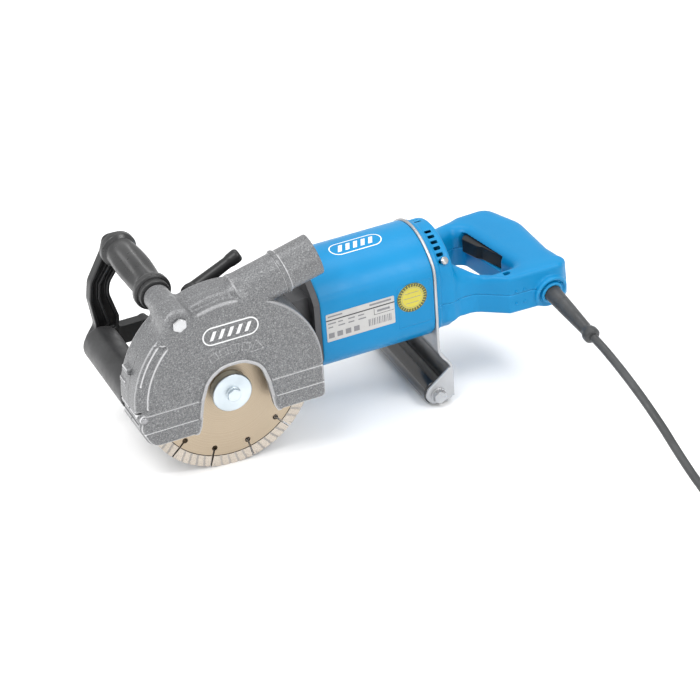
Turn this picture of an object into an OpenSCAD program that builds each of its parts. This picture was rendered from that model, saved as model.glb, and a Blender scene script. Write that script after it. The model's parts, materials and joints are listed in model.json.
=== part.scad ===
// Twin-blade wall chaser. Two diamond blades cut a slot of set depth and width in a wall.
// X runs along the motor from the guard to the D-handle, -Y is the blade side, +Z is up.
// The tool stands on its blades and its rear roller, so its motor axis tips up to the rear.

/* [Blades] */
// Diameter of the diamond blades
blade_d = 180; // [176:1:180]
// Thickness of a blade's steel core
core_t = 1.8; // [1.4:0.1:2]
// Thickness of the diamond rim
rim_t = 2.4; // [2:0.1:2.6]
// Depth of the diamond rim
rim_depth = 12; // [10:1:13]
// Cooling slots in each blade
slot_count = 12; // [8:1:14]
// Distance between the middles of the two blades
blade_gap = 13; // [12:0.5:14]

/* [Motor] */
// Radius of the round parts of the motor housing
housing_r = 60.5; // [60:0.5:61]
// Half the distance between the housing's flat sides
housing_flat = 51; // [50:0.5:51.5]
// Wall thickness of the plastic housings
wall = 3.2; // [2.8:0.1:3.4]
// Height of the motor axis above the spindle axis
motor_z = 22.5; // [22:0.5:23]
// Radius of the armature core
armature_r = 28; // [26:0.5:28]

/* [Gears] */
// Teeth of the spur pinion on the layshaft
pinion_teeth = 14; // [14:1:14]
// Teeth of the spur gear on the spindle
gear_teeth = 28; // [28:1:28]
// Tooth module of the spur gears
gear_module = 2; // [2:0.1:2]
// Teeth of the bevel pinion on the armature
bevel_pinion_teeth = 13; // [13:1:13]
// Teeth of the bevel wheel on the layshaft
bevel_wheel_teeth = 20; // [20:1:20]

/* [Guard] */
// Radius of the guard's arched top
guard_r = 97; // [96.5:0.1:97.5]
// Height of the centre of that arch above the spindle
guard_z = 12; // [11:0.5:13]
// Wall thickness of the cast guard
guard_wall = 3.5; // [3:0.1:3.6]
// Outside radius of the dust port
port_r = 21.5; // [20:0.5:22]
// Upward tilt of the dust port
port_tilt = 14.3; // [12:0.1:16]
// Furthest swing of the guard, where the blades no longer show
guard_swing = 55; // [10:1:55]

/* [Rollers and handles] */
// Radius of the front roller
front_roller_r = 20; // [18:0.5:20]
// Radius of the rear roller
rear_roller_r = 13.5; // [12:0.5:14]
// Greatest radius of the front grip
grip_r = 18; // [16:0.5:18.5]
// Height of the D-handle's grip bar
handle_top = 34; // [33:1:36]
// Level of the D-handle's underside
handle_bottom = -11; // [-12:1:-10]

/* [Cord] */
// Diameter of the mains cable
cord_d = 9; // [9:0.1:9]
// Turns side by side in the coil
coil_columns = 3; // [3:1:3]
// Layers of turns in the coil
coil_layers = 4; // [4:1:4]

/* [Hidden] */
$fn = 64;

blade_r = blade_d / 2;
// Places along Y of the blades, the guard and the gear case
outer_y = -62;
inner_y = outer_y + blade_gap;
cover_y = -82;
split_y = -60;
back_y = -37.6;
case_y = -36;
lid_y = 30;
lid_back_y = 44;
// Places along X
lay_x = sqrt(pow(gear_module * (pinion_teeth + gear_teeth) / 2, 2) - motor_z * motor_z);
front_x = 109;
rear_x = 234;
plate_t = 3;
cap_x = rear_x + plate_t;
cap_end_x = 258;
// Rollers
front_axle = [-80, -3];
rear_axle = [232, -92];
rear_roller_y = [-47, 83];
front_roller_y = [-26, 84];
frame_y = [86, 98];
grip_axis = [-51, 101];
// Clamp of the guard's swing
clamp_reach = 88;
clamp_angle = 98;
clamp_at = clamp_reach * [cos(clamp_angle), sin(clamp_angle)];
neck_r = 34;
neck_y = 41.2;
// Room that the slot leaves past the clamp bolt, in degrees
slot_room = 3.2;
// Bevel gears
bevel_module = 2.4;
bevel_pinion_r = bevel_module * bevel_pinion_teeth / 2;
bevel_wheel_r = bevel_module * bevel_wheel_teeth / 2;
bevel_scale = 0.625;
// D-handle
part_z = 11.5;
gland_at = [357, -69, 4];
sleeve_lean = 5;
sleeve_droop = 11;
sleeve_len = 58;
gland_len = 22;
// Depth of the socket that the gland sits in
gland_seat = 2.5;

// Tip of the tool when it stands on its blades and rear roller
stand_drop = blade_r - rear_roller_r;
pitch = atan2(-rear_axle[1], rear_axle[0]) - asin(stand_drop / norm(rear_axle));
// Middle of the standing tool's outline
middle_x = 139;
middle_y = 8;

// A point of the tool's own frame in the standing frame
function stood(p) = [
    p[0] * cos(pitch) - p[2] * sin(pitch) - middle_x,
    p[1] - middle_y,
    p[0] * sin(pitch) + p[2] * cos(pitch) + blade_r];
module stand() translate([-middle_x, -middle_y, blade_r]) rotate([0, -pitch, 0]) children();

// ---- shared shapes ----
function arc(c, r, a0, a1, n = 24) = [for (i = [0:n]) let (a = a0 + (a1 - a0) * i / n)
    [c[0] + r * cos(a), c[1] + r * sin(a)]];
module yrod(at, y0, y1, r) translate([at[0], y0, at[1]]) rotate([-90, 0, 0]) cylinder(h = y1 - y0, r = r);
module xrod(x0, x1, y, z, r) translate([x0, y, z]) rotate([0, 90, 0]) cylinder(h = x1 - x0, r = r);
module ytube(at, y0, y1, r, bore) difference() {
    yrod(at, y0, y1, r);
    yrod(at, y0 - 1, y1 + 1, bore);
}
module xtube(x0, x1, r, bore) difference() {
    xrod(x0, x1, 0, motor_z, r);
    xrod(x0 - 1, x1 + 1, 0, motor_z, bore);
}
// Extrudes an outline drawn in X and Z along Y
module yslab(y0, y1) translate([0, y1, 0]) rotate([90, 0, 0]) linear_extrude(y1 - y0) children();
// Extrudes an outline drawn in Y and Z along X
module xslab(x0, x1) translate([x0, 0, 0]) rotate([90, 0, 90]) linear_extrude(x1 - x0) children();
module yhex(at, y0, y1, across) translate([at[0], y0, at[1]]) rotate([-90, 0, 0])
    cylinder(h = y1 - y0, d = across / cos(30), $fn = 6);
// Outline with its corners rounded: each point is [x, y, radius]
function corner(a, b, c, r) = let (
    u = (a - b) / norm(a - b),
    v = (c - b) / norm(c - b),
    half = acos(u * v) / 2,
    m = (u + v) / norm(u + v),
    o = b + m * r / sin(half),
    p = b + u * r / tan(half),
    q = b + v * r / tan(half),
    a0 = atan2(p[1] - o[1], p[0] - o[0]),
    turn = atan2(q[1] - o[1], q[0] - o[0]) - a0,
    swing = turn > 180 ? turn - 360 : turn < -180 ? turn + 360 : turn
) r < 0.1 ? [b] : [for (i = [0:5]) o + r * [cos(a0 + swing * i / 5), sin(a0 + swing * i / 5)]];
function xy(p) = [p[0], p[1]];
function rounded(pts) = let (n = len(pts)) [for (i = [0:n - 1])
    each corner(xy(pts[(i + n - 1) % n]), xy(pts[i]), xy(pts[(i + 1) % n]), pts[i][2])];

// Motor housing section, grown by g
module motor_section(g) intersection() {
    translate([0, motor_z]) circle(r = housing_r + g, $fn = 96);
    translate([-housing_flat - g, motor_z - 80]) square([2 * (housing_flat + g), 160]);
}

// ---- machine body: motor ----
module motor_housing() color("dodgerblue") stand() {
    difference() {
        xslab(front_x, rear_x) motor_section(0);
        xslab(front_x - 1, rear_x + 1) motor_section(-wall);
    }
    // ribs that hold the stator
    for (a = [40, 140, 220, 320]) translate([134, 0, motor_z]) rotate([a, 0, 0])
        translate([0, -4, 47]) cube([38, 8, 11.5]);
    // spider that holds the rear bearing
    difference() {
        union() {
            xrod(204, 213, 0, motor_z, 21);
            translate([204, -housing_flat + 2, motor_z - 4]) cube([9, 2 * housing_flat - 4, 8]);
            translate([204, -4, motor_z - housing_r + 2]) cube([9, 8, 2 * housing_r - 4]);
        }
        xrod(203, 214, 0, motor_z, 16);
    }
}
module stator_pack() color("gray") stand() xtube(134, 172, 47, armature_r + 0.7);
module field_windings() color("peru") stand() for (x = [125.5, 172.2]) xtube(x, x + 8, 42, 30.5);
module air_baffle() color("dimgray") stand() difference() {
    xslab(121.5, 124) motor_section(-wall);
    xrod(121, 125, 0, motor_z, 36);
}
module armature_bearings() color("lightsteelblue") stand() {
    xtube(88, 99, 17.5, 7.5);
    xtube(204, 213, 16, 6);
}
module brush_holders() color("goldenrod") stand() for (s = [-1, 1]) difference() {
    translate([182, s * 31.5 - 12.5, motor_z - 9]) cube([14, 25, 18]);
    translate([184.9, s * 31.5 - 14, motor_z - 6.1]) cube([8.2, 28, 12.2]);
}
module carbon_brushes() color("black") stand() for (s = [-1, 1])
    translate([185, s * 28.5 - 10.5, motor_z - 6]) cube([8, 21, 12]);
module rating_plate() color("whitesmoke") stand()
    translate([114, -housing_flat - 0.5, 9.5]) cube([75.5, 0.5, 32]);
module round_badge() color("yellow") stand() yrod([209.3, 32.5], -housing_flat - 0.6, -housing_flat, 16.4);

// ---- machine body: gear case ----
case_outline = [[0, 0, 38], [lay_x, motor_z, 36]];
module case_profile(g) hull() {
    for (c = case_outline) translate([c[0], c[1]]) circle(r = c[2] + g, $fn = 32);
    translate([78, motor_z - 40 - g]) square([10 + g, 74 + 2 * g]);
}
module gear_bores() {
    yrod([0, 0], -27.5, lid_y + 1, 32.5);
    yrod([lay_x, motor_z], -27.5, lid_y + 1, 30.5);
    xrod(lay_x, 89, 0, motor_z, 16.5);
}
// Plate behind the guard with the curved slot that the clamp bolt runs in
module quadrant() difference() {
    yslab(case_y, case_y + 7) polygon(concat([[8, 20]], arc([0, 0], 97.5, 91, 160, 30), [[-34, 2]]));
    yslab(case_y - 1, case_y + 8) polygon(concat(
        arc([0, 0], clamp_reach + 4.6, clamp_angle - slot_room, clamp_angle + guard_swing + slot_room, 30),
        arc([0, 0], clamp_reach - 4.6, clamp_angle + guard_swing + slot_room, clamp_angle - slot_room, 30)));
    for (a = [112, 137]) yrod(60 * [cos(a), sin(a)], case_y - 1, case_y + 8, 10);
}
module gear_case() color("#303234") stand() {
    difference() {
        union() {
            yslab(case_y, lid_y) case_profile(0);
            xslab(84, 103) translate([case_y, -18]) square([lid_y - case_y, 76]);
            xslab(88.5, 103) translate([case_y, -18]) square([70, 76]);
            xslab(102.5, front_x) motor_section(-1);
            yrod([0, 0], -neck_y, case_y + 1, neck_r);
        }
        gear_bores();
        xrod(88, 99, 0, motor_z, 17.5);
        xrod(98.9, front_x + 1, 0, motor_z, 32);
        xslab(104.5, front_x + 1) motor_section(-6);
        yrod([0, 0], -42, -27, 21);
        yrod([lay_x, motor_z], -34.5, -27, 14);
    }
    difference() {
        quadrant();
        yslab(case_y - 1, case_y + 8) case_profile(-2);
    }
}
module gear_cover() color("#3a3c3e") stand() difference() {
    union() {
        yslab(lid_y, lid_back_y) case_profile(-1);
        yrod([0, 0], lid_back_y - 1, 62, 18);
    }
    yrod([0, 0], lid_y - 1, 38.5, 17.5);
    yrod([lay_x, motor_z], lid_y - 1, 38.5, 14);
    yrod([0, 0], 50, 63, 3);
}
module swivel_ring() color("silver") stand() difference() {
    ytube([0, 0], -neck_y - 3, -neck_y, neck_r + 5, 14);
    for (a = [30:60:330]) yrod(28 * [cos(a), sin(a)], -neck_y - 4, -neck_y + 1, 2);
}
module layshaft_bearings() color("lightsteelblue") stand() {
    ytube([lay_x, motor_z], -34.5, -27.5, 14, 7.05);
    ytube([lay_x, motor_z], lid_y, 38.5, 14, 6.05);
}
module spindle_bearings() color("lightsteelblue") stand() {
    ytube([0, 0], -40.5, -28.5, 21, 10.05);
    ytube([0, 0], lid_y, 38.5, 17.5, 7.55);
}
module case_screws() color("silver") stand() {
    for (p = [[-24, -24], [-27, 21], [10, -34.2], [52, 50], [80, 50], [80, -12], [50, -13.4]]) {
        yrod(p, lid_back_y, lid_back_y + 4, 3.6);
    }
    yrod([0, 0], 62, 66, 8);
    yrod([0, 0], 50, 62, 3);
}

// ---- machine body: rear plate and D-handle ----
ear_outline = rounded([[250.5, -60, 3], [250.5, -97, 3], [244, -102, 6], [225, -102.5, 8], [217.5, -92, 8], [221, -83, 4]]);
module rear_plate() color("gainsboro") stand() {
    difference() {
        union() {
            xslab(rear_x, cap_x) motor_section(1.5);
            xslab(rear_x, cap_x) translate([-52, -34]) square([104, 30]);
        }
        xrod(rear_x - 1, cap_x + 1, 0, motor_z, 44);
    }
    // lower sheet, which sweeps back and down
    yslab(-52, 88) polygon([[rear_x, -34], [rear_x + 0.6, -42], [rear_x + 5, -51], [247.5, -60], [247.5, -98],
        [250.5, -98], [250.5, -58.6], [rear_x + 7.6, -49], [rear_x + 3.5, -41], [cap_x, -34]]);
    // ears that carry the roller's bolt
    for (y = [-52, 85]) difference() {
        yslab(y, y + 3) polygon(ear_outline);
        yrod(rear_axle, y - 1, y + 4, 4.1);
    }
}
// D-handle seen from above, outside and hand hole
handle_plan = rounded([[cap_end_x - 8, -47, 0], [281, -46, 20], [311, -67.5, 5], [370, -69.5, 12],
    [383, -58, 12], [377, -28, 40], [377, 32, 40], [358, 79, 20], [318, 77, 14], [292, 66, 20],
    [269, 56, 12], [cap_end_x - 8, 50, 0]]);
hole_plan = rounded([[265, -24, 8], [304, -46, 12], [330, -47, 10], [313, 42, 8], [303, 48, 8], [265, 24, 8]]);
// D-handle seen from the side
handle_side = [[cap_end_x - 9, handle_bottom + 3], [268, handle_bottom], [384, handle_bottom], [384, handle_top],
    [311, handle_top], [289, handle_top + 3], [272, handle_top + 9], [cap_end_x - 9, handle_top + 20]];
// Trigger's pivot, and the space that it swings in
trigger_pivot = [338, -12];
trigger_z = 12;
trigger_h = 16;
module handle_solid() {
    difference() {
        intersection() {
            translate([0, 0, handle_bottom]) linear_extrude(80) polygon(handle_plan);
            yslab(-90, 90) polygon(handle_side);
        }
        translate([0, 0, handle_bottom - 1]) linear_extrude(90) polygon(hole_plan);
        // space for the switch
        translate([352.5, -20.5, -3.5]) cube([18, 63, 31]);
        // mouth that the trigger comes out of
        translate([300, -19.5, trigger_z - 0.3]) cube([53, 65.5, trigger_h + 0.6]);
        // way for the cable from the gland to the switch
        translate([gland_at[0], -71, gland_at[2]]) rotate([-90, 0, 0]) cylinder(h = 52, r = 5);
        at_gland() translate([0, 0, -gland_seat]) cylinder(h = 30, r = 9.05);
        translate([trigger_pivot[0], trigger_pivot[1], 7.9]) cylinder(h = 22.2, r = 2.02);
    }
    // collar round the gland
    intersection() {
        at_gland() difference() {
            translate([0, 0, -4]) cylinder(h = 7.5, r1 = 14, r2 = 12);
            translate([0, 0, -5]) cylinder(h = 10, r = 9.05);
        }
        translate([330, -90, handle_bottom]) cube([60, 21.5, handle_top - handle_bottom]);
    }
    difference() {
        xslab(cap_x, cap_end_x) motor_section(-1.5);
        xslab(cap_x - 1, cap_end_x - wall) motor_section(-1.5 - wall);
        // vent slots
        for (i = [0:5], s = [-1, 1]) translate([244, s * (12 + 6 * i) - 1.5, motor_z + 20]) cube([10, 3, 60]);
    }
}
handle_screw_places = [[313, -57], [366, 50], [326, 62], [272, 37], [272, -37]];
module handle_screw_holes(r) for (p = handle_screw_places)
    translate([p[0], p[1], handle_bottom - 1]) cylinder(h = 90, r = r);
module handle_lower() color("dodgerblue") stand() intersection() {
    difference() {
        handle_solid();
        handle_screw_holes(2);
    }
    translate([230, -100, -60]) cube([160, 200, 60 + part_z]);
}
module handle_upper() color("dodgerblue") stand() intersection() {
    difference() {
        handle_solid();
        handle_screw_holes(2);
        for (p = handle_screw_places)
            translate([p[0], p[1], handle_top - 4]) cylinder(h = 60, r = 3.6);
    }
    translate([230, -100, part_z]) cube([160, 200, 80]);
}
module handle_screws() color("silver") stand() for (p = handle_screw_places) {
    translate([p[0], p[1], handle_bottom + 4]) cylinder(h = handle_top - 8 - handle_bottom, r = 2);
    translate([p[0], p[1], handle_top - 4]) cylinder(h = 2.4, r = 3.4);
}
module switch_body() color("#222426") stand() translate([353, -20, -3]) cube([17, 62, 30]);
module trigger_pin() color("silver") stand() translate([trigger_pivot[0], trigger_pivot[1], 8])
    cylinder(h = 22, r = 2);
module trigger() color("#1c1e20") stand() translate([0, 0, trigger_z]) difference() {
    linear_extrude(trigger_h) polygon(rounded([[344, -17.5, 3], [327.5, -18, 4], [318.5, 10, 4], [314, 15, 4],
        [307.5, 35, 3], [312, 41, 4], [342, 38, 3]]));
    translate([trigger_pivot[0], trigger_pivot[1], -1]) cylinder(h = 20, r = 2.06);
}
module at_gland() translate(gland_at) rotate([0, 0, sleeve_lean]) rotate([90 + sleeve_droop, 0, 0]) children();
module gland_bush() color("#2a2c2e") stand() at_gland()
    difference() {
        translate([0, 0, -gland_seat]) cylinder(h = gland_len + gland_seat, r1 = 9, r2 = 8.4);
        translate([0, 0, -2]) cylinder(h = gland_len + 3, r = cord_d / 2);
    }
module cable_sleeve() color("#3a3d40") stand() at_gland()
    difference() {
        translate([0, 0, gland_len]) union() {
            cylinder(h = sleeve_len - 8, r1 = 8.2, r2 = 6.4);
            translate([0, 0, sleeve_len - 9]) cylinder(h = 9, r = 8);
        }
        translate([0, 0, gland_len - 1]) cylinder(h = sleeve_len + 2, r = cord_d / 2);
    }
module rear_axle_bolt() color("silver") stand() {
    yrod(rear_axle, -54, 90, 4);
    yhex(rear_axle, -59, -54, 13);
    ytube(rear_axle, -54, -52, 8.5, 3.9);
    yhex(rear_axle, 90, 95, 13);
    ytube(rear_axle, 88, 90, 8.5, 3.9);
}
module rear_roller() color("#151617") stand() ytube(rear_axle, rear_roller_y[0], rear_roller_y[1], rear_roller_r, 4.05);

// ---- armature ----
module armature_shaft() color("silver") stand() {
    xrod(50.5, 101, 0, motor_z, 7.45);
    xrod(101, 200, 0, motor_z, 9);
    xrod(200, 214, 0, motor_z, 5.95);
}
module armature_core() color("slategray") stand() difference() {
    xrod(134, 172, 0, motor_z, armature_r);
    xrod(133, 173, 0, motor_z, 9);
    for (a = [0:15:345]) translate([133, 0, motor_z]) rotate([a, 0, 0]) translate([0, -1, armature_r - 6]) cube([40, 2, 8]);
}
module armature_windings() color("sienna") stand() for (x = [126, 172]) xtube(x, x + 8, 24, 9);
module commutator() color("chocolate") stand() difference() {
    xtube(182, 198, 17, 9);
    for (a = [0:15:345]) translate([181, 0, motor_z]) rotate([a, 0, 0]) translate([0, -0.4, 16]) cube([18, 0.8, 3]);
}
module fan() color("#26282a") stand() {
    xtube(111, 120, 12, 9);
    xtube(118, 120, 44, 11.9);
    for (a = [0:30:330]) translate([112, 0, motor_z]) rotate([a, 0, 0]) translate([0, -1, 20]) cube([6.1, 2, 23]);
}
// Straight-flanked bevel tooth ring: r is [root, pitch, tip], w the half thickness there
function bevel_outline(n, r, w) = [for (i = [0:n - 1], k = [-3, -2, -1, 1, 2, 3])
    let (j = 3 - abs(k), a = 360 * i / n + sign(k) * w[j] / r[j] * 180 / PI) r[j] * [cos(a), sin(a)]];
bevel_play = 0.3;
bevel_half = [2.75, 1.88, 1.15];
function bevel_radii(h, lean) = [h * tan(lean - 5), h * tan(lean), h * tan(lean + 4)];
pinion_lean = atan2(bevel_pinion_r, bevel_wheel_r);
module bevel_pinion() color("darkgray") stand() difference() {
    translate([lay_x + bevel_wheel_r, 0, motor_z]) rotate([0, -90, 0]) union() {
        rotate([0, 0, 90]) linear_extrude(height = 9, scale = bevel_scale)
            polygon(bevel_outline(bevel_pinion_teeth, bevel_radii(bevel_wheel_r, pinion_lean),
                [for (w = bevel_half) w - bevel_play]));
        translate([0, 0, -6]) cylinder(h = 6.1, r = 12);
    }
    xrod(40, 80, 0, motor_z, 7.45);
}
module bevel_wheel() color("darkgray") stand() difference() {
    translate([lay_x, bevel_pinion_r, motor_z]) rotate([90, 0, 0]) union() {
        rotate([0, 0, 180 / bevel_wheel_teeth]) linear_extrude(height = 5.85, scale = bevel_scale)
            polygon(bevel_outline(bevel_wheel_teeth, bevel_radii(bevel_pinion_r, 90 - pinion_lean),
                [for (w = bevel_half) w - bevel_play]));
        translate([0, 0, -7]) cylinder(h = 7.1, r = 19);
    }
    yrod([lay_x, motor_z], 0, 40, 9);
}

// ---- layshaft and spindle gears ----
function roll(r, rb) = tan(acos(rb / r)) * 180 / PI - acos(rb / r);
function spur_half(r, rp, rb, n, play) = 90 / n - play / rp * 90 / PI + roll(rp, rb) - roll(max(r, rb), rb);
function spur_outline(n, m, play) = let (rp = n * m / 2, rb = rp * cos(20), r0 = rp - 1.25 * m, r1 = rp + m,
    rs = [r0, for (k = [0:5]) max(rb, r0) + (r1 - max(rb, r0)) * k / 5])
    [for (i = [0:n - 1]) each concat(
        [for (r = rs) let (a = 360 * i / n - spur_half(r, rp, rb, n, play)) r * [cos(a), sin(a)]],
        [for (k = [len(rs) - 1:-1:0]) let (r = rs[k], a = 360 * i / n + spur_half(r, rp, rb, n, play))
            r * [cos(a), sin(a)]])];
mesh_angle = atan2(motor_z, lay_x);
spur_play = 0.3;
module spur_pinion() color("darkgray") stand() difference() {
    translate([lay_x, 0, motor_z]) yslab(-26, -12)
        rotate(mesh_angle + 180 + 180 / pinion_teeth) polygon(spur_outline(pinion_teeth, gear_module, spur_play));
    yrod([lay_x, motor_z], -27, -11, 8);
}
module spindle_gear() color("darkgray") stand() difference() {
    yslab(-26, -13) rotate(mesh_angle) polygon(spur_outline(gear_teeth, gear_module, spur_play));
    yrod([0, 0], -27, -12, 11);
    for (a = [0:60:300]) yrod(18.5 * [cos(a), sin(a)], -27, -12, 3.5);
}
module layshaft() color("silver") stand() {
    yrod([lay_x, motor_z], -34, -27, 7);
    yrod([lay_x, motor_z], -27, -12, 8);
    yrod([lay_x, motor_z], -12, 29, 9);
    yrod([lay_x, motor_z], 29, 38, 6);
}
module spindle() color("silver") stand() difference() {
    union() {
        yrod([0, 0], -67, -41, 11.05);
        yrod([0, 0], -41, -27.5, 10);
        yrod([0, 0], -27.5, -12, 11);
        yrod([0, 0], -12, 29, 10);
        yrod([0, 0], 29, 38, 7.5);
    }
    yrod([0, 0], -68, -50, 5);
}
module inner_flange() color("lightgray") stand()
    ytube([0, 0], -47.8 + (blade_gap - 13), -44.8, 21, 11.05);
module spacer_rings() color("gainsboro") stand() {
    ytube([0, 0], outer_y + 1.2, outer_y + 5.2, 20, 11.05);
    ytube([0, 0], outer_y + 5.2, inner_y - 1.2, 20, 11.05);
}
module blade(y, turn) {
    slot_in = blade_r - rim_depth - 9;
    difference() {
        union() {
            yrod([0, 0], y - core_t / 2, y + core_t / 2, blade_r - rim_depth + 0.5);
            ytube([0, 0], y - rim_t / 2, y + rim_t / 2, blade_r, blade_r - rim_depth);
            ytube([0, 0], y - rim_t / 2, y + rim_t / 2, 20, 12);
        }
        yrod([0, 0], y - 3, y + 3, 11.05);
        for (i = [0:slot_count - 1]) translate([0, y, 0]) rotate([0, turn + 360 * i / slot_count, 0]) {
            translate([slot_in, -3, -1]) cube([40, 6, 2]);
            translate([slot_in, -3, 0]) rotate([-90, 0, 0]) cylinder(h = 6, r = 3);
        }
    }
}
module inner_blade() color("tan") stand() blade(inner_y, 12);
module outer_blade() color("tan") stand() blade(outer_y, -12);
module outer_flange() color("white") stand() difference() {
    union() {
        yrod([0, 0], outer_y - 9.5, outer_y - rim_t / 2, 20);
        yrod([0, 0], outer_y - 12.5, outer_y - 9.5, 21);
    }
    yrod([0, 0], outer_y - 14, outer_y - 7.5, 11);
    yrod([0, 0], outer_y - 6.4, outer_y, 11.05);
    yrod([0, 0], outer_y - 14, outer_y, 5);
}
module blade_bolt() color("lightsteelblue") stand() {
    yhex([0, 0], outer_y - 13, outer_y - 7.5, 15);
    yrod([0, 0], outer_y - 7.6, outer_y + 10, 5);
}

// ---- guard ----
guard_mid = [-1, guard_z];
// Guard seen along Y, without its open underside; g is how far inside the outline
function guard_outline(g) = concat(
    arc(guard_mid, guard_r - g, 0, 180, 48),
    rounded([[-1 - guard_r + g, guard_z - 2, 0], [-103 + g, -6, 10], [-92 + g * 0.6, -30, 14], [-60, -30, 0],
        [60, -30, 0], [96 - g, -30, 7], [96 - g, guard_z - 2, 0]]));
notch = rounded([[-44, -40, 0], [-38.5, -20, 9], [-33.5, 5, 0], [-28.4, 22.8, 0], [-16.2, 33.8, 0], [1, 38.5, 0],
    [18.2, 33.8, 0], [30.4, 22.8, 0], [34.5, 5, 0], [39, -20, 9], [45, -40, 0]]);
module guard_mouth() translate([-87, -40]) square([174, 64]);
module guard_rim(y0, y1) difference() {
    yslab(y0, y1) polygon(guard_outline(0));
    yslab(y0 - 1, y1 + 1) polygon(guard_outline(guard_wall));
    yslab(y0 - 1, y1 + 1) translate([-87, -40]) square([174, 20]);
}
// Space swept by the dust port's bore where it enters the guard
port_mouth = [103, 122];
module port_frame() translate([port_mouth[0], split_y, port_mouth[1]]) rotate([0, -port_tilt, 0]) children();
module port_bore() port_frame() xrod(-110, 1, 0, 0, port_r - 2.5);
// Tube with a fairing that runs out on the guard's arch; g is how far inside the surface
module port_body(g) port_frame() {
    xrod(-100, g > 0 ? 1 : 0, 0, 0, port_r - g);
    hull() {
        xrod(-100, -99, 0, 0, port_r - g);
        translate([-140, 0, -9]) sphere(r = 12 - g, $fn = 32);
    }
}
module guard_rear_shell() color("gray") stand() difference() {
    union() {
        difference() {
            union() {
                yslab(back_y - guard_wall, back_y) polygon(guard_outline(0));
                guard_rim(split_y, back_y - 1);
                // stiff band along the front edge
                yslab(split_y, back_y) polygon(concat(arc(guard_mid, 103, 140, 184, 16), arc(guard_mid, 95, 184, 140, 16)));
                yrod(grip_axis, split_y, -22, 14);
                yslab(split_y, back_y) polygon([[-64, 96], [-38, 106], [-30, 94], [-52, 80]]);
            }
            // keeps the boss clear of the blades
            yslab(split_y - 1, back_y - guard_wall) polygon(guard_outline(guard_wall));
        }
    }
    guard_screw_rods();
    yrod([0, 0], -45, -30, neck_r + 0.05);
    yrod(clamp_at, -45, -30, 4);
    yrod(front_axle, -45, -30, 5);
    yrod(grip_axis, split_y - 1, -20, 5);
    port_bore();
}
module guard_front_cover() color("gray") stand() difference() {
    union() {
        difference() {
            union() {
                yslab(cover_y, cover_y + guard_wall) polygon(guard_outline(2.5));
                guard_rim(cover_y + 2.5, split_y);
                yslab(cover_y + 2, split_y) polygon(concat(arc(guard_mid, 103, 152, 184, 12), arc(guard_mid, 95, 184, 152, 12)));
                yrod(grip_axis, cover_y, split_y, 14);
                yslab(cover_y + 2, split_y) polygon([[-64, 96], [-38, 106], [-30, 94], [-52, 80]]);
            }
            yslab(cover_y + guard_wall, split_y + 1) polygon(guard_outline(guard_wall));
        }
        // raised bead round the notch
        yslab(cover_y - 1.5, cover_y + 1) difference() {
            scale([1.1, 1.06]) polygon(notch);
            translate([-60, -60]) square([120, 30]);
        }
    }
    guard_screw_rods();
    yslab(cover_y - 3, cover_y + 6) polygon(notch);
    yrod(grip_axis, cover_y - 1, split_y + 1, 5);
    port_bore();
}
module dust_port() color("gray") stand() difference() {
    union() {
        port_body(0);
        port_frame() xrod(-41, -37, 0, 0, port_r + 2);
    }
    port_body(2.5);
    yslab(cover_y - 3, back_y + 3) polygon(guard_outline(0));
}
module guard_screw_rods() for (a = [28, 62, 163])
    yrod(guard_mid + (guard_r - 1.7) * [cos(a), sin(a)], split_y - 8, split_y + 6, 0.9);
module guard_screws() color("silver") stand() guard_screw_rods();
module handle_rod() color("gainsboro") stand() {
    yrod(grip_axis, cover_y, 100, 5);
    yhex(grip_axis, cover_y - 5, cover_y, 16);
    yhex(grip_axis, 98, 102.5, 14);
}
module front_grip() color("#1d1f21") stand() translate([grip_axis[0], 0, grip_axis[1]]) rotate([-90, 0, 0])
    rotate_extrude() polygon([[5, -22], [16, -22], [16, -16], [19.5, -15], [19.5, -8], [14.5, -5], [15.5, 4],
        [17.4, 22], [grip_r, 40], [17.4, 58], [15.6, 70], [15.5, 74], [19, 78], [19, 85], [5, 85]]);
module front_frame() color("#202224") stand() difference() {
    union() {
        // arm from the grip down to the roller
        yslab(frame_y[0], frame_y[1]) polygon(rounded([[-61, 112, 8], [-41, 112, 8], [-39, 92, 6], [-62, 62, 20],
            [-64, 50, 20], [-56, 20, 16], [-62, -14, 10], [-84, -20, 14], [-96, -6, 12], [-82, 14, 10], [-86, 46, 20],
            [-83, 66, 20], [-66, 96, 20]]));
        // bar towards the swivel, which turns in to the hub
        yslab(frame_y[0], frame_y[1]) polygon([[-80, 8], [-26, 8], [-26, -14], [-80, -14]]);
        hull() {
            yslab(frame_y[0], frame_y[1]) polygon([[-32, 8], [-26, 8], [-26, -14], [-32, -14]]);
            yslab(48, 58) polygon([[-20, 8], [-14, 8], [-14, -14], [-20, -14]]);
        }
        yrod([0, 0], 47, 59, 26);
    }
    yrod([0, 0], 46, 66, 18.05);
    yrod(grip_axis, frame_y[0] - 1, frame_y[1] + 1, 5);
    yrod(front_axle, frame_y[0] - 1, frame_y[1] + 1, 5);
}
module front_axle_bolt() color("silver") stand() {
    yrod(front_axle, -42, 100, 5);
    yhex(front_axle, -45, -41.1, 14);
    yhex(front_axle, 98, 103, 14);
}
module front_roller() color("#2f3133") stand() ytube(front_axle, front_roller_y[0], front_roller_y[1], front_roller_r, 5.05);
module clamp_bolt() color("silver") stand() {
    yrod(clamp_at, -44, -13, 4);
    yhex(clamp_at, -44.5, -41.1, 13);
}
lever_y = -10;
module clamp_lever() color("#1d1f21") stand() difference() {
    union() {
        yrod(clamp_at, -28.5, -8, 9);
        translate([clamp_at[0], lever_y, clamp_at[1]]) rotate([0, -25.5, 0]) {
            rotate([0, 90, 0]) cylinder(h = 56, r1 = 6.5, r2 = 5.4);
            translate([50, 0, 0]) rotate([0, 90, 0]) cylinder(h = 12, r = 6.8);
        }
    }
    yrod(clamp_at, -30, -13, 4.05);
}

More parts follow.
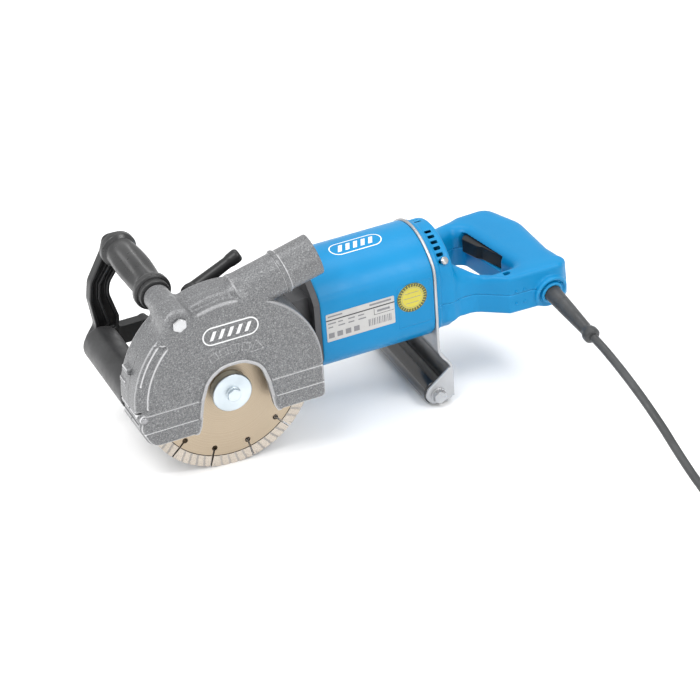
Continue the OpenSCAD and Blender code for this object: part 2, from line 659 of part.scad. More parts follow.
// ---- mains cable, in the standing frame ----
sleeve_dir = [sin(sleeve_lean) * cos(sleeve_droop), -cos(sleeve_lean) * cos(sleeve_droop), -sin(sleeve_droop)];
exit_at = stood(gland_at + (gland_len + sleeve_len) * sleeve_dir);
exit_dir = unit(exit_at - stood(gland_at));
coil_mid = [334, -432];
coil_in_r = 47;
coil_h = coil_layers * cord_d;
// Route from the sleeve down to the floor and on to the coil
cord_route = [exit_at, exit_at + 20 * exit_dir, [229.5, -200, 92], [232, -225, 84], [235, -250, 74],
    [239, -276, 60.5], [243, -302, 45], [248, -328, 29.5], [254, -354, 16], [260, -376, 8.5],
    [265, -398, 5.2], [268, -415, 4.6], [269, -432, 4.5]];
// Route over the top of the coil, given from the coil's middle, to the plug on the floor
tail_route = [for (p = [[-47, 0, 31.5], [-47, -14, 34], [-45, -30, 38.5], [-40, -47, 40.5], [-31, -65, 40],
    [-19, -82, 33], [-4, -94, 25], [14, -101, 19.5], [32, -104, 18]]) [p[0] + coil_mid[0], p[1] + coil_mid[1], p[2]]];
plug_at = tail_route[len(tail_route) - 1];
function along(way, i, t) = let (n = len(way), a = way[max(i - 1, 0)], b = way[i],
    c = way[min(i + 1, n - 1)], d = way[min(i + 2, n - 1)])
    0.5 * (2 * b + (c - a) * t + (2 * a - 5 * b + 4 * c - d) * t * t + (3 * b - a - 3 * c + d) * t * t * t);
function smooth_way(way) = concat([for (i = [0:len(way) - 2], t = [0, 0.5]) along(way, i, t)], [way[len(way) - 1]]);
function unit(v) = v / norm(v);
sides = 10;
module sweep_tube(pts, r) {
    n = len(pts);
    tangents = [for (i = [0:n - 1]) unit(pts[min(i + 1, n - 1)] - pts[max(i - 1, 0)])];
    rings = [for (i = [0:n - 1]) let (s = unit(cross(tangents[i], [0, 0, 1])), u = cross(s, tangents[i]))
        for (k = [0:sides - 1]) pts[i] + r * (s * cos(360 * k / sides) + u * sin(360 * k / sides))];
    polyhedron(points = rings, faces = concat(
        [[for (k = [0:sides - 1]) k]],
        [for (i = [0:n - 2], k = [0:sides - 1]) [i * sides + k, (i + 1) * sides + k, (i + 1) * sides + (k + 1) % sides]],
        [for (i = [0:n - 2], k = [0:sides - 1]) [i * sides + k, (i + 1) * sides + (k + 1) % sides, i * sides + (k + 1) % sides]],
        [[for (k = [sides - 1:-1:0]) (n - 1) * sides + k]]));
}
module mains_cord() color("#4a4d4f") sweep_tube(smooth_way(cord_route), cord_d / 2);
module cord_coil() color("#4a4d4f") translate([coil_mid[0], coil_mid[1], 0]) rotate_extrude()
    translate([coil_in_r - cord_d / 2, 0]) square([coil_columns * cord_d, coil_h]);
module cord_tail() color("#4a4d4f") sweep_tube(smooth_way(tail_route), cord_d / 2);
// Plug with its boot towards the cable and two round pins
module mains_plug() color("#2a2c2e") translate(plug_at) rotate([0, 90, 0]) {
    cylinder(h = 26, r1 = 9, r2 = 16);
    translate([0, 0, 25.5]) cylinder(h = 12, r = 18);
    for (s = [-1, 1]) translate([0, 9.5 * s, 37]) cylinder(h = 19, r = 2.4);
}

motor_housing();
gear_case();
gear_cover();
swivel_ring();
stator_pack();
field_windings();
armature_bearings();
layshaft_bearings();
spindle_bearings();
brush_holders();
carbon_brushes();
air_baffle();
rear_plate();
handle_lower();
handle_upper();
handle_screws();
switch_body();
gland_bush();
cable_sleeve();
rear_axle_bolt();
case_screws();
rating_plate();
round_badge();
armature_shaft();
armature_core();
armature_windings();
commutator();
fan();
bevel_pinion();
layshaft();
bevel_wheel();
spur_pinion();
spindle();
spindle_gear();
inner_flange();
spacer_rings();
inner_blade();
outer_blade();
outer_flange();
blade_bolt();
guard_rear_shell();
guard_front_cover();
dust_port();
guard_screws();
handle_rod();
front_grip();
front_frame();
front_axle_bolt();
clamp_bolt();
front_roller();
rear_roller();
clamp_lever();
trigger();
trigger_pin();
mains_cord();
cord_coil();
cord_tail();
mains_plug();
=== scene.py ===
import itertools
import json
import math

import bpy
import numpy as np
from mathutils import Matrix, Vector


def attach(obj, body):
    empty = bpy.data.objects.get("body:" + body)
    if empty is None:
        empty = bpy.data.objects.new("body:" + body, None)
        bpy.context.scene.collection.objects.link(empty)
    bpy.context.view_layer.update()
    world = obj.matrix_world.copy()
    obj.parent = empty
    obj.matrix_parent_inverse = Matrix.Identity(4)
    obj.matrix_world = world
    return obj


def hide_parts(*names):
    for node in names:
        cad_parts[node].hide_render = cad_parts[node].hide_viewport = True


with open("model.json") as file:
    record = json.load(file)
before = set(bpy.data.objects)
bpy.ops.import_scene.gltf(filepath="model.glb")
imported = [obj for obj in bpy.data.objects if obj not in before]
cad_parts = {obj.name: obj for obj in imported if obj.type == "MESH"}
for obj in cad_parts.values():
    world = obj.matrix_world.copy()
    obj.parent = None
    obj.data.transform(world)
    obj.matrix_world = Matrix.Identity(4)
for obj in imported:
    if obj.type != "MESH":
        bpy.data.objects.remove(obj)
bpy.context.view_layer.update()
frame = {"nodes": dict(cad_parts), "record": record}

# ---- the tool's own frame: millimetres, spindle axis at x = z = 0, motor along X ----
BLADE_R = 90.0
REAR_AXLE = (232.0, -92.0)
REAR_ROLLER_R = 13.5
PITCH = (math.atan2(-REAR_AXLE[1], REAR_AXLE[0])
         - math.asin((BLADE_R - REAR_ROLLER_R) / math.hypot(*REAR_AXLE)))
MM = 0.001
STAND = (Matrix.Diagonal((MM, MM, MM, 1)) @ Matrix.Translation((-139, -8, BLADE_R))
         @ Matrix.Rotation(-PITCH, 4, "Y"))
STAND_ROWS = np.array(STAND)
MOTOR_Z = 22.5
HOUSING_R = 60.5
HOUSING_FLAT = 51.0
OUTER_Y = -62.0
INNER_Y = -49.0
COVER_Y = -82.0
SPLIT_Y = -60.0
BACK_Y = -37.6
PART_Z = 11.5
HANDLE_BOTTOM = -11.0
HANDLE_TOP = 34.0
FRONT_AXLE = (-80.0, -3.0)
GRIP_AXIS = (-51.0, 101.0)
CLAMP_ANGLE = math.radians(98)
CLAMP_AT = (88 * math.cos(CLAMP_ANGLE), 88 * math.sin(CLAMP_ANGLE))
PORT_MOUTH = (103.0, -60.0, 122.0)
PORT_TILT = math.radians(14.3)
port_inward = -np.array([math.cos(PORT_TILT), 0.0, math.sin(PORT_TILT)])
PORT_R = 21.5
GLAND_AT = (357.0, -69.0, 4.0)
SLEEVE_LEAN = math.radians(5)
SLEEVE_DROOP = math.radians(11)
GLAND_LEN = 22.0
SLEEVE_LEN = 58.0
FINE = 0.8


def stood(points):
    """Points of the tool's frame, in millimetres, as points of the row frame, in metres."""
    points = np.asarray(points, dtype=float)
    return points @ STAND_ROWS[:3, :3].T + STAND_ROWS[:3, 3]


# ---- camera ----
CAMERA_AT = (-1.0925, -2.4584, 1.6821)
CAMERA_RIGHT = Vector((0.909845, -0.414945, -0.001702))
CAMERA_UP = Vector((0.215652, 0.469347, 0.856276))
cam_data = bpy.data.cameras.new("camera")
cam_data.sensor_width = 36.0
cam_data.lens = 157.0
cam_data.clip_end = 50.0
camera = bpy.data.objects.new("camera", cam_data)
bpy.context.scene.collection.objects.link(camera)
back = CAMERA_RIGHT.cross(CAMERA_UP)
camera_turn = Matrix((CAMERA_RIGHT, CAMERA_UP, back)).transposed().to_4x4()
camera.matrix_world = Matrix.Translation(CAMERA_AT) @ camera_turn
bpy.context.scene.camera = camera

# ---- materials ----


class Shade:
    """A node material around one Principled shader."""

    def __init__(self, name, rough=0.5, metal=0.0, coat=0.0, sheen=0.0, spec=0.5, coat_rough=0.1):
        self.mat = bpy.data.materials.new(name)
        self.mat.use_nodes = True
        self.tree = self.mat.node_tree
        self.bsdf = self.tree.nodes["Principled BSDF"]
        self.set("Roughness", rough)
        self.set("Metallic", metal)
        self.set("Coat Weight", coat)
        self.set("Coat Roughness", coat_rough)
        self.set("Sheen Weight", sheen)
        self.set("Specular IOR Level", spec)
        self.coords = self.node("ShaderNodeTexCoord").outputs["Object"]
        self.normal = None

    def set(self, name, value):
        self.bsdf.inputs[name].default_value = value

    def node(self, kind, **values):
        made = self.tree.nodes.new(kind)
        for key, value in values.items():
            setattr(made, key, value)
        return made

    def link(self, a, b):
        self.tree.links.new(a, b)

    def noise(self, scale, detail=3.0, stretch=(1, 1, 1), rough=0.55):
        spread = self.node("ShaderNodeMapping")
        spread.inputs["Scale"].default_value = stretch
        self.link(self.coords, spread.inputs["Vector"])
        made = self.node("ShaderNodeTexNoise")
        made.inputs["Scale"].default_value = scale
        made.inputs["Detail"].default_value = detail
        made.inputs["Roughness"].default_value = rough
        self.link(spread.outputs[0], made.inputs["Vector"])
        return made.outputs["Fac"]

    def ramp(self, value, stops):
        made = self.node("ShaderNodeValToRGB")
        band = made.color_ramp
        while len(band.elements) < len(stops):
            band.elements.new(0.5)
        for element, (place, color) in zip(band.elements, stops):
            element.position = place
            element.color = (*color, 1) if len(color) == 3 else color
        self.link(value, made.inputs["Fac"])
        return made.outputs["Color"]

    def span(self, value, low, high, out_low, out_high):
        made = self.node("ShaderNodeMapRange")
        for key, number in zip(("From Min", "From Max", "To Min", "To Max"), (low, high, out_low, out_high)):
            made.inputs[key].default_value = number
        self.link(value, made.inputs["Value"])
        return made.outputs["Result"]

    def bump(self, value, distance, strength=1.0):
        made = self.node("ShaderNodeBump")
        made.inputs["Strength"].default_value = strength
        made.inputs["Distance"].default_value = distance
        self.link(value, made.inputs["Height"])
        if self.normal is not None:
            self.link(self.normal, made.inputs["Normal"])
        self.normal = made.outputs["Normal"]
        self.link(self.normal, self.bsdf.inputs["Normal"])

    def math(self, kind, value, other):
        """Math or vector math node on a value and a second value, a number or a vector."""
        made = self.node(kind[0], operation=kind[1])
        self.link(value, made.inputs[0])
        if isinstance(other, bpy.types.NodeSocket):
            self.link(other, made.inputs[1])
        elif other is not None:
            made.inputs[1].default_value = other
        return made.outputs[kind[2]]

    def edge_wear_and_highlight(self, base, wear_highlight_color, low=0.52, high=0.58, seam=None):
        """Colour that brightens a little on convex edges, but not along a seam at this Y: partly edge wear,
        partly a painted highlight for the light that rounded edges catch.
        """
        geometry = self.node("ShaderNodeNewGeometry")
        amount = self.span(geometry.outputs["Pointiness"], low, high, 0.0, 1.0)
        if seam is not None:
            split = self.node("ShaderNodeSeparateXYZ")
            self.link(self.coords, split.inputs[0])
            off = self.math(("ShaderNodeMath", "SUBTRACT", 0), split.outputs["Y"], seam)
            far = self.math(("ShaderNodeMath", "ABSOLUTE", 0), off, None)
            clear = self.span(far, 0.0008, 0.002, 0.0, 1.0)
            amount = self.math(("ShaderNodeMath", "MULTIPLY", 0), amount, clear)
        mix = self.node("ShaderNodeMix", data_type="RGBA")
        self.link(amount, mix.inputs["Factor"])
        self.link(base, mix.inputs["A"])
        mix.inputs["B"].default_value = (*wear_highlight_color, 1)
        return mix.outputs["Result"]

    def color(self, value):
        self.link(value, self.bsdf.inputs["Base Color"])

    def rough(self, value):
        self.link(value, self.bsdf.inputs["Roughness"])


def plastic(name, dark, light, rough=0.38, grain=900.0, depth=0.00004, coat=0.0, wear_highlight_color=None, spec=0.5):
    """Moulded plastic: fine spark-eroded grain, slow change of shade."""
    shade = Shade(name, rough=rough, coat=coat, coat_rough=0.2, spec=spec)
    tone = shade.ramp(shade.noise(14.0, 2.0), [(0.35, dark), (0.65, light)])
    # convex edges lighter in colour: partly edge wear, partly painted highlight
    shade.color(shade.edge_wear_and_highlight(tone, wear_highlight_color) if wear_highlight_color else tone)
    shade.rough(shade.span(shade.noise(60.0, 4.0), 0.3, 0.7, rough - 0.05, rough + 0.07))
    shade.bump(shade.noise(grain, 2.0), depth, 0.6)
    return shade.mat


def metal(name, dark, light, rough=0.3, stretch=(1, 1, 1), grain=220.0, depth=0.00002, spec=0.5):
    """Machined or plated metal with brushed lines along one axis."""
    shade = Shade(name, rough=rough, metal=1.0, spec=spec)
    shade.color(shade.ramp(shade.noise(25.0, 4.0, stretch), [(0.3, dark), (0.7, light)]))
    shade.rough(shade.span(shade.noise(80.0, 5.0, stretch), 0.3, 0.7, max(rough - 0.08, 0.05), rough + 0.12))
    shade.bump(shade.noise(grain, 3.0, stretch), depth, 0.5)
    return shade.mat


def hammertone():
    """Grey hammertone paint: small light dimples on a mid-grey coat."""
    shade = Shade("hammertone_paint", rough=0.4, metal=0.25, coat=0.25, coat_rough=0.25)
    speckle = shade.noise(760.0, 3.0, rough=0.75)
    tone = shade.ramp(speckle, [(0.3, (0.056, 0.057, 0.060)), (0.46, (0.114, 0.116, 0.120)),
                                (0.58, (0.168, 0.171, 0.175)), (0.72, (0.35, 0.355, 0.36))])
    # painted highlight: convex edges of the casting lightened in the colour for the light they catch, kept
    # off the seam between the halves
    shade.color(shade.edge_wear_and_highlight(tone, (0.60, 0.60, 0.61), 0.51, 0.55, seam=(SPLIT_Y - 8) * MM))
    shade.rough(shade.span(shade.noise(500.0, 2.0), 0.35, 0.65, 0.34, 0.5))
    shade.bump(shade.noise(420.0, 2.0), 0.0001, 0.5)
    shade.bump(speckle, 0.00005, 0.4)
    return shade.mat


def rubber(name, dark, light, rough=0.55):
    shade = Shade(name, rough=rough, sheen=0.1)
    shade.color(shade.ramp(shade.noise(40.0, 4.0), [(0.35, dark), (0.7, light)]))
    shade.rough(shade.span(shade.noise(120.0, 3.0), 0.3, 0.7, rough - 0.08, rough + 0.1))
    shade.bump(shade.noise(1300.0, 2.0), 0.00006, 0.6)
    return shade.mat


def blade_core():
    """Gold-toned steel disc with fine turning marks round the spindle axis."""
    shade = Shade("blade_core_steel", rough=0.36, metal=0.75)
    centre = tuple(stood([(0, 0, 0)])[0])
    away = shade.math(("ShaderNodeVectorMath", "SUBTRACT", 0), shade.coords, centre)
    flat = shade.math(("ShaderNodeVectorMath", "MULTIPLY", 0), away, (1, 0, 1))
    reach = shade.math(("ShaderNodeVectorMath", "LENGTH", "Value"), flat, None)
    rings = shade.node("ShaderNodeCombineXYZ")
    shade.link(reach, rings.inputs[0])
    lines = shade.node("ShaderNodeTexNoise")
    lines.inputs["Scale"].default_value = 2600.0
    lines.inputs["Detail"].default_value = 2.0
    shade.link(rings.outputs[0], lines.inputs["Vector"])
    shade.color(shade.ramp(lines.outputs["Fac"], [(0.3, (0.31, 0.245, 0.17)), (0.7, (0.56, 0.465, 0.35))]))
    shade.rough(shade.span(lines.outputs["Fac"], 0.3, 0.7, 0.3, 0.48))
    shade.bump(lines.outputs["Fac"], 0.00005, 0.6)
    shade.bump(shade.noise(700.0, 3.0), 0.00004, 0.4)
    return shade.mat


def blade_rim():
    """Sintered diamond segments: pale bronze grit."""
    shade = Shade("diamond_segments", rough=0.55, metal=0.25)
    grit = shade.noise(1500.0, 4.0, rough=0.7)
    shade.color(shade.ramp(grit, [(0.32, (0.34, 0.29, 0.24)), (0.55, (0.58, 0.52, 0.45)),
                                  (0.7, (0.72, 0.66, 0.60))]))
    shade.bump(grit, 0.00012, 0.8)
    return shade.mat


def print_film(name, color, rough=0.3):
    shade = Shade(name, rough=rough, coat=0.3, coat_rough=0.15)
    pale = tuple(min(c * 1.06, 1.0) for c in color)
    shade.color(shade.ramp(shade.noise(90.0, 3.0), [(0.4, color), (0.6, pale)]))
    shade.rough(shade.span(shade.noise(200.0, 2.0), 0.3, 0.7, rough - 0.04, rough + 0.08))
    shade.bump(shade.noise(800.0, 2.0), 0.00001, 0.4)
    return shade.mat


# the last colour of BLUE and BLACK_PLASTIC lightens their convex edges: partly wear, partly painted highlight
BLUE = plastic("blue_polyamide", (0.0008, 0.183, 0.405), (0.0015, 0.205, 0.445), rough=0.38, spec=0.24,
               wear_highlight_color=(0.03, 0.29, 0.56))
BLACK_PLASTIC = plastic("black_polyamide", (0.008, 0.0083, 0.0088), (0.015, 0.0155, 0.016), rough=0.34,
                        spec=0.35, wear_highlight_color=(0.04, 0.04, 0.042))
BLACK_CASTING = plastic("black_casting_paint", (0.044, 0.045, 0.048), (0.068, 0.069, 0.073), rough=0.45,
                        grain=500.0, depth=0.0001, spec=0.4)
HAMMERTONE = hammertone()
ZINC = metal("zinc_plate", (0.38, 0.385, 0.39), (0.56, 0.565, 0.575), rough=0.27, grain=900.0, depth=0.00001)
SHEET_ZINC = metal("zinc_sheet", (0.40, 0.405, 0.41), (0.52, 0.525, 0.535), rough=0.44, grain=900.0,
                   depth=0.000002)
WHITE_ZINC = metal("white_zinc", (0.50, 0.56, 0.60), (0.66, 0.72, 0.76), rough=0.4, grain=600.0)
DARK_STEEL = metal("dark_steel", (0.22, 0.22, 0.23), (0.42, 0.42, 0.43), rough=0.3)
LAMINATION = metal("laminations", (0.13, 0.13, 0.14), (0.36, 0.36, 0.37), rough=0.4, stretch=(40, 1, 1),
                   depth=0.0001)
COPPER = metal("copper_bars", (0.5, 0.22, 0.1), (0.85, 0.45, 0.25), rough=0.25)
BRASS = metal("brass_holder", (0.55, 0.4, 0.15), (0.85, 0.67, 0.32), rough=0.28)
WINDING = metal("winding_lacquer", (0.3, 0.09, 0.03), (0.62, 0.24, 0.09), rough=0.3, stretch=(1, 30, 30),
                depth=0.0003)
CARBON = plastic("carbon_block", (0.01, 0.01, 0.011), (0.03, 0.03, 0.032), rough=0.6)
GRIP_RUBBER = rubber("grip_rubber", (0.011, 0.0113, 0.0117), (0.021, 0.0215, 0.022), rough=0.31)
ROLLER_RUBBER = rubber("roller_rubber", (0.012, 0.0122, 0.013), (0.024, 0.0245, 0.026), rough=0.42)
CORD_RUBBER = rubber("cord_rubber", (0.020, 0.0213, 0.0225), (0.038, 0.040, 0.042), rough=0.46)
GLOSS_BLACK = plastic("polished_black_tube", (0.004, 0.004, 0.0045), (0.008, 0.008, 0.009), rough=0.16,
                      coat=0.6)
CORE = blade_core()
RIM = blade_rim()
# painted shade: the turbo grooves are coloured darker than the rim for the shade that falls in them
GROOVE_SHADE = plastic("turbo_groove_shade", (0.30, 0.28, 0.26), (0.42, 0.39, 0.36), rough=0.6)
SLOT_DARK = plastic("slot_edge", (0.02, 0.016, 0.01), (0.06, 0.045, 0.025), rough=0.55)
WHITE_FILM = print_film("white_film", (0.405, 0.40, 0.392))
YELLOW_FILM = print_film("yellow_film", (0.465, 0.405, 0.026))
DARK_INK = print_film("dark_ink", (0.018, 0.018, 0.02))
GREY_INK = print_film("grey_ink", (0.16, 0.16, 0.17))
OLIVE_INK = print_film("olive_ink", (0.06, 0.065, 0.012))
WHITE_INK = print_film("white_ink", (0.86, 0.88, 0.90))
BARE_METAL = print_film("bare_casting", (0.66, 0.665, 0.67))

SLOT_MATERIAL = {
    "blue_plastic": BLUE, "black_casting": BLACK_CASTING, "hammertone": HAMMERTONE, "dark_steel": DARK_STEEL,
    "laminations": LAMINATION, "copper_winding": WINDING, "copper_bars": COPPER,
    "black_plastic": BLACK_PLASTIC, "brass_holder": BRASS, "carbon": CARBON, "zinc_plate": ZINC,
    "zinc_steel": ZINC, "black_rubber": GRIP_RUBBER, "grey_rubber": ROLLER_RUBBER,
    "gloss_roller": GLOSS_BLACK, "label_white": WHITE_FILM, "label_yellow": YELLOW_FILM, "blade_steel": CORE,
    "white_zinc": WHITE_ZINC, "cord_rubber": CORD_RUBBER,
}
for part in frame["record"]["subparts"]:
    for material_slot in frame["nodes"][part["node"]].material_slots:
        material_slot.material = SLOT_MATERIAL[part["material_slot"]]


# ---- pieces ----
def add_piece(name, mesh, body, materials, nodes=(), smooth=True):
    for material in materials:
        mesh.materials.append(material)
    if smooth:
        mesh.polygons.foreach_set("use_smooth", [True] * len(mesh.polygons))
    made = bpy.data.objects.new(name, mesh)
    bpy.context.scene.collection.objects.link(made)
    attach(made, body)
    if nodes:
        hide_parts(*nodes)
    return made


def mesh_from(name, points, faces, kinds=None):
    """Mesh of points in the tool's frame."""
    mesh = bpy.data.meshes.new(name)
    mesh.from_pydata([tuple(p) for p in stood(points)], [], [tuple(int(k) for k in f) for f in faces])
    if kinds is not None:
        mesh.polygons.foreach_set("material_index", kinds)
    mesh.update()
    return mesh


# ---- solids as distance fields ----
def rounded(points, steps=6):
    """Outline with its corners rounded: each point is (x, y, radius)."""
    made = []
    count = len(points)
    for i in range(count):
        a = np.array(points[i - 1][:2], float)
        b = np.array(points[i][:2], float)
        c = np.array(points[(i + 1) % count][:2], float)
        r = points[i][2]
        if r < 0.1:
            made.append(tuple(b))
            continue
        u = (a - b) / np.linalg.norm(a - b)
        v = (c - b) / np.linalg.norm(c - b)
        half = math.acos(float(np.clip(u @ v, -1, 1))) / 2
        middle = b + (u + v) / np.linalg.norm(u + v) * r / math.sin(half)
        p = b + u * r / math.tan(half)
        q = b + v * r / math.tan(half)
        start = math.atan2(*(p - middle)[::-1])
        turn = (math.atan2(*(q - middle)[::-1]) - start + math.pi) % (2 * math.pi) - math.pi
        for k in range(steps):
            angle = start + turn * k / (steps - 1)
            made.append((middle[0] + r * math.cos(angle), middle[1] + r * math.sin(angle)))
    return made


def arc(centre, r, a0, a1, count=24):
    angles = np.radians(np.linspace(a0, a1, count + 1))
    return [(centre[0] + r * math.cos(a), centre[1] + r * math.sin(a)) for a in angles]


def path_distance(points, u, v):
    """Distance to an open line of points."""
    best = 1e9
    for (ax, ay), (bx, by) in zip(points, points[1:]):
        ex, ey = bx - ax, by - ay
        if abs(ex) + abs(ey) < 1e-6:
            continue
        wx, wy = u - ax, v - ay
        t = np.clip((wx * ex + wy * ey) / (ex * ex + ey * ey), 0, 1)
        best = np.minimum(best, (wx - ex * t) ** 2 + (wy - ey * t) ** 2)
    return np.sqrt(best)


def outline(points, u, v):
    """Signed distance to a closed outline, negative inside."""
    ring = points + points[:1]
    inside = np.zeros(np.broadcast_shapes(u.shape, v.shape), bool)
    for (ax, ay), (bx, by) in zip(ring, ring[1:]):
        above, below, left = v >= ay, v < by, (bx - ax) * (v - ay) > (by - ay) * (u - ax)
        inside ^= (above & below & left) | (~above & ~below & ~left)
    return np.where(inside, -1, 1) * path_distance(ring, u, v)


def crossing(p, q, r):
    """Where two distances are both negative, with the edge between them rounded."""
    return np.minimum(np.maximum(p, q), 0) + np.hypot(np.maximum(p, 0), np.maximum(q, 0)) - r


def rect(u, v, u0, u1, v0, v1, r=0.0):
    return crossing(abs(u - (u0 + u1) / 2) - (u1 - u0) / 2 + r, abs(v - (v0 + v1) / 2) - (v1 - v0) / 2 + r, r)


def slab(flat, along, a0, a1, r=0.0):
    """Outline made solid between two levels, with rounded edges."""
    return crossing(flat + r, abs(along - (a0 + a1) / 2) - (a1 - a0) / 2 + r, r)


def axis_places(at, start, d):
    """Distance along an axis from its start, and distance out from it."""
    w = [at[k] - start[k] for k in range(3)]
    t = w[0] * d[0] + w[1] * d[1] + w[2] * d[2]
    return t, np.sqrt(np.maximum(w[0] ** 2 + w[1] ** 2 + w[2] ** 2 - t * t, 0))


def rod(at, a, b, r0, r1=None, r=0.0):
    """Round bar from a to b, with radius r0 at a and r1 at b."""
    a, b = np.array(a, float), np.array(b, float)
    length = np.linalg.norm(b - a)
    t, out = axis_places(at, a, (b - a) / length)
    here = r0 if r1 is None else r0 + (r1 - r0) * np.clip(t / length, 0, 1)
    return slab(out - here, t, 0, length, r)


def join(a, b, k=0.0):
    if np.isscalar(k) and k == 0:
        return np.minimum(a, b)
    h = np.clip(0.5 + 0.5 * (b - a) / k, 0, 1)
    return b * (1 - h) + a * h - k * h * (1 - h)


def cut(a, b, k=0.0):
    return -join(-a, b, k)


def common(a, b, k=0.0):
    return -join(-a, -b, k)


def circle(at, middle, r):
    """Distance to a circle about a line along Y."""
    return np.hypot(at[0] - middle[0], at[2] - middle[1]) - r


def bored(body, at, middle, r, y0, y1):
    """Body with a round hole along Y."""
    return cut(body, slab(circle(at, middle, r), at[1], y0, y1))


def half(field, axis, level, side):
    """Field of a body's part below a level along an axis (side 1), or above it (side -1)."""
    return lambda at: np.maximum(field(at), side * (at[axis] - level))


def net(field, low, high, step):
    """Points and quads of the zero level of a distance field, in the tool's frame."""
    axes = [np.arange(low[k], high[k] + step, step, dtype=np.float32) for k in range(3)]
    at = np.meshgrid(*axes, indexing="ij", sparse=True)
    values = np.ascontiguousarray(np.broadcast_to(field(at), [len(a) for a in axes]), dtype=np.float32)
    inside = values < 0
    size = [n - 1 for n in values.shape]
    count = np.zeros(size, np.uint8)
    for c in itertools.product((0, 1), repeat=3):
        count += inside[c[0]:c[0] + size[0], c[1]:c[1] + size[1], c[2]:c[2] + size[2]]
    cells = np.argwhere((count > 0) & (count < 8))
    number = np.full(size, -1, np.int32)
    number[tuple(cells.T)] = np.arange(len(cells))
    total = np.zeros((len(cells), 3))
    hits = np.zeros(len(cells))
    quads = []
    for axis in range(3):
        o1, o2 = (axis + 1) % 3, (axis + 2) % 3
        for a, b in itertools.product((0, 1), repeat=2):
            start = cells.copy()
            start[:, o1] += a
            start[:, o2] += b
            end = start.copy()
            end[:, axis] += 1
            v0, v1 = values[tuple(start.T)], values[tuple(end.T)]
            hit = (v0 < 0) != (v1 < 0)
            place = start.astype(float)
            place[:, axis] += np.where(hit, v0 / np.where(hit, v0 - v1, 1), 0)
            total += place * hit[:, None]
            hits += hit
        before = np.take(inside, range(values.shape[axis] - 1), axis)
        after = np.take(inside, range(1, values.shape[axis]), axis)
        edges = np.argwhere(before != after)
        e1, e2 = edges[:, o1], edges[:, o2]
        edges = edges[(e1 > 0) & (e2 > 0) & (e1 < size[o1]) & (e2 < size[o2])]
        out = before[tuple(edges.T)]
        ring = []
        for a, b in ((1, 1), (0, 1), (0, 0), (1, 0)):
            cell = edges.copy()
            cell[:, o1] -= a
            cell[:, o2] -= b
            ring.append(number[tuple(cell.T)])
        ring = np.stack(ring, 1)
        ring[~out] = ring[~out][:, ::-1]
        quads.append(ring)
    points = total / hits[:, None] * step + np.array([a[0] for a in axes])
    return points, np.concatenate(quads)


def relaxed(points, quads, rounds):
    """Light smoothing that keeps the volume: each pass in is followed by one out."""
    if not rounds:
        return points
    ends = np.concatenate([quads[:, [0, 1]], quads[:, [1, 2]], quads[:, [2, 3]], quads[:, [3, 0]]])
    degree = np.bincount(ends.ravel(), minlength=len(points)).astype(float)
    for weight in [0.5, -0.52] * rounds:
        pull = np.zeros_like(points)
        for k in range(3):
            pull[:, k] = (np.bincount(ends[:, 0], points[ends[:, 1], k], len(points))
                          + np.bincount(ends[:, 1], points[ends[:, 0], k], len(points)))
        points = points + weight * (pull / degree[:, None] - points)
    return points


def field_piece(name, field, low, high, body, material, nodes=(), step=FINE, rounds=2):
    points, quads = net(field, low, high, step)
    points = relaxed(points, quads, rounds)
    mesh = bpy.data.meshes.new(name)
    mesh.vertices.add(len(points))
    mesh.vertices.foreach_set("co", stood(points).astype(np.float32).ravel())
    mesh.loops.add(len(quads) * 4)
    mesh.loops.foreach_set("vertex_index", quads.ravel().astype(np.int32))
    mesh.polygons.add(len(quads))
    mesh.polygons.foreach_set("loop_start", np.arange(0, len(quads) * 4, 4, dtype=np.int32))
    mesh.update(calc_edges=True)
    mesh.validate()
    return add_piece(name, mesh, body, [material], nodes)


# ---- turned pieces ----
def turned(name, start, direction, profile, body, material, nodes=(), sides=64, ripple=None, tube=False,
           sharp=35):
    """Piece turned about an axis: profile holds (distance along, radius), from one end to the other.

    A tube has its last ring joined to its first one, where other pieces have end faces.
    """
    start, d = np.array(start, float), np.array(direction, float)
    d = d / np.linalg.norm(d)
    side = np.cross(d, (0.0, 0.0, 1.0)) if abs(d[2]) < 0.9 else np.cross(d, (0.0, 1.0, 0.0))
    side = side / np.linalg.norm(side)
    up = np.cross(side, d)
    points, faces = [], []
    for t, r in profile:
        for i in range(sides):
            angle = 2 * math.pi * i / sides
            here = max(r if ripple is None else ripple(t, r, angle), 0.001)
            points.append(start + d * t + here * (side * math.cos(angle) + up * math.sin(angle)))
    for j in range(len(profile) - 1):
        for i in range(sides):
            k = (i + 1) % sides
            faces.append((j * sides + i, j * sides + k, (j + 1) * sides + k, (j + 1) * sides + i))
    last = (len(profile) - 1) * sides
    if tube:
        faces += [(last + i, last + (i + 1) % sides, (i + 1) % sides, i) for i in range(sides)]
    else:
        faces += [tuple(range(sides))[::-1], tuple(last + i for i in range(sides))]
    made = add_piece(name, mesh_from(name, points, faces), body, [material], nodes)
    crease(made, sharp)
    return made


def crease(obj, degrees):
    """Keeps edges sharper than this angle crisp under smooth shading."""
    mesh = obj.data
    limit = math.cos(math.radians(degrees))
    normals = {}
    for polygon in mesh.polygons:
        for key in polygon.edge_keys:
            normals.setdefault(key, []).append(polygon.normal)
    sharp = [len(normals.get(edge.key, ())) == 2 and normals[edge.key][0].dot(normals[edge.key][1]) < limit
             for edge in mesh.edges]
    layer = mesh.attributes.new("sharp_edge", "BOOLEAN", "EDGE")
    layer.data.foreach_set("value", sharp)


WASHER_T = 1.7


def bevelled(profile, r=0.8, steps=4):
    """Profile with its inner corners rounded."""
    made = [profile[0]]
    for before, here, after in zip(profile, profile[1:], profile[2:]):
        b = np.array(here, float)
        u, v = np.array(before) - b, np.array(after) - b
        lu, lv = np.linalg.norm(u), np.linalg.norm(v)
        reach = min(r, lu * 0.45, lv * 0.45)
        p, q = b + u / lu * reach, b + v / lv * reach
        for k in range(steps + 1):
            t = k / steps
            made.append(tuple((1 - t) ** 2 * p + 2 * t * (1 - t) * b + t * t * q))
    return made + [profile[-1]]


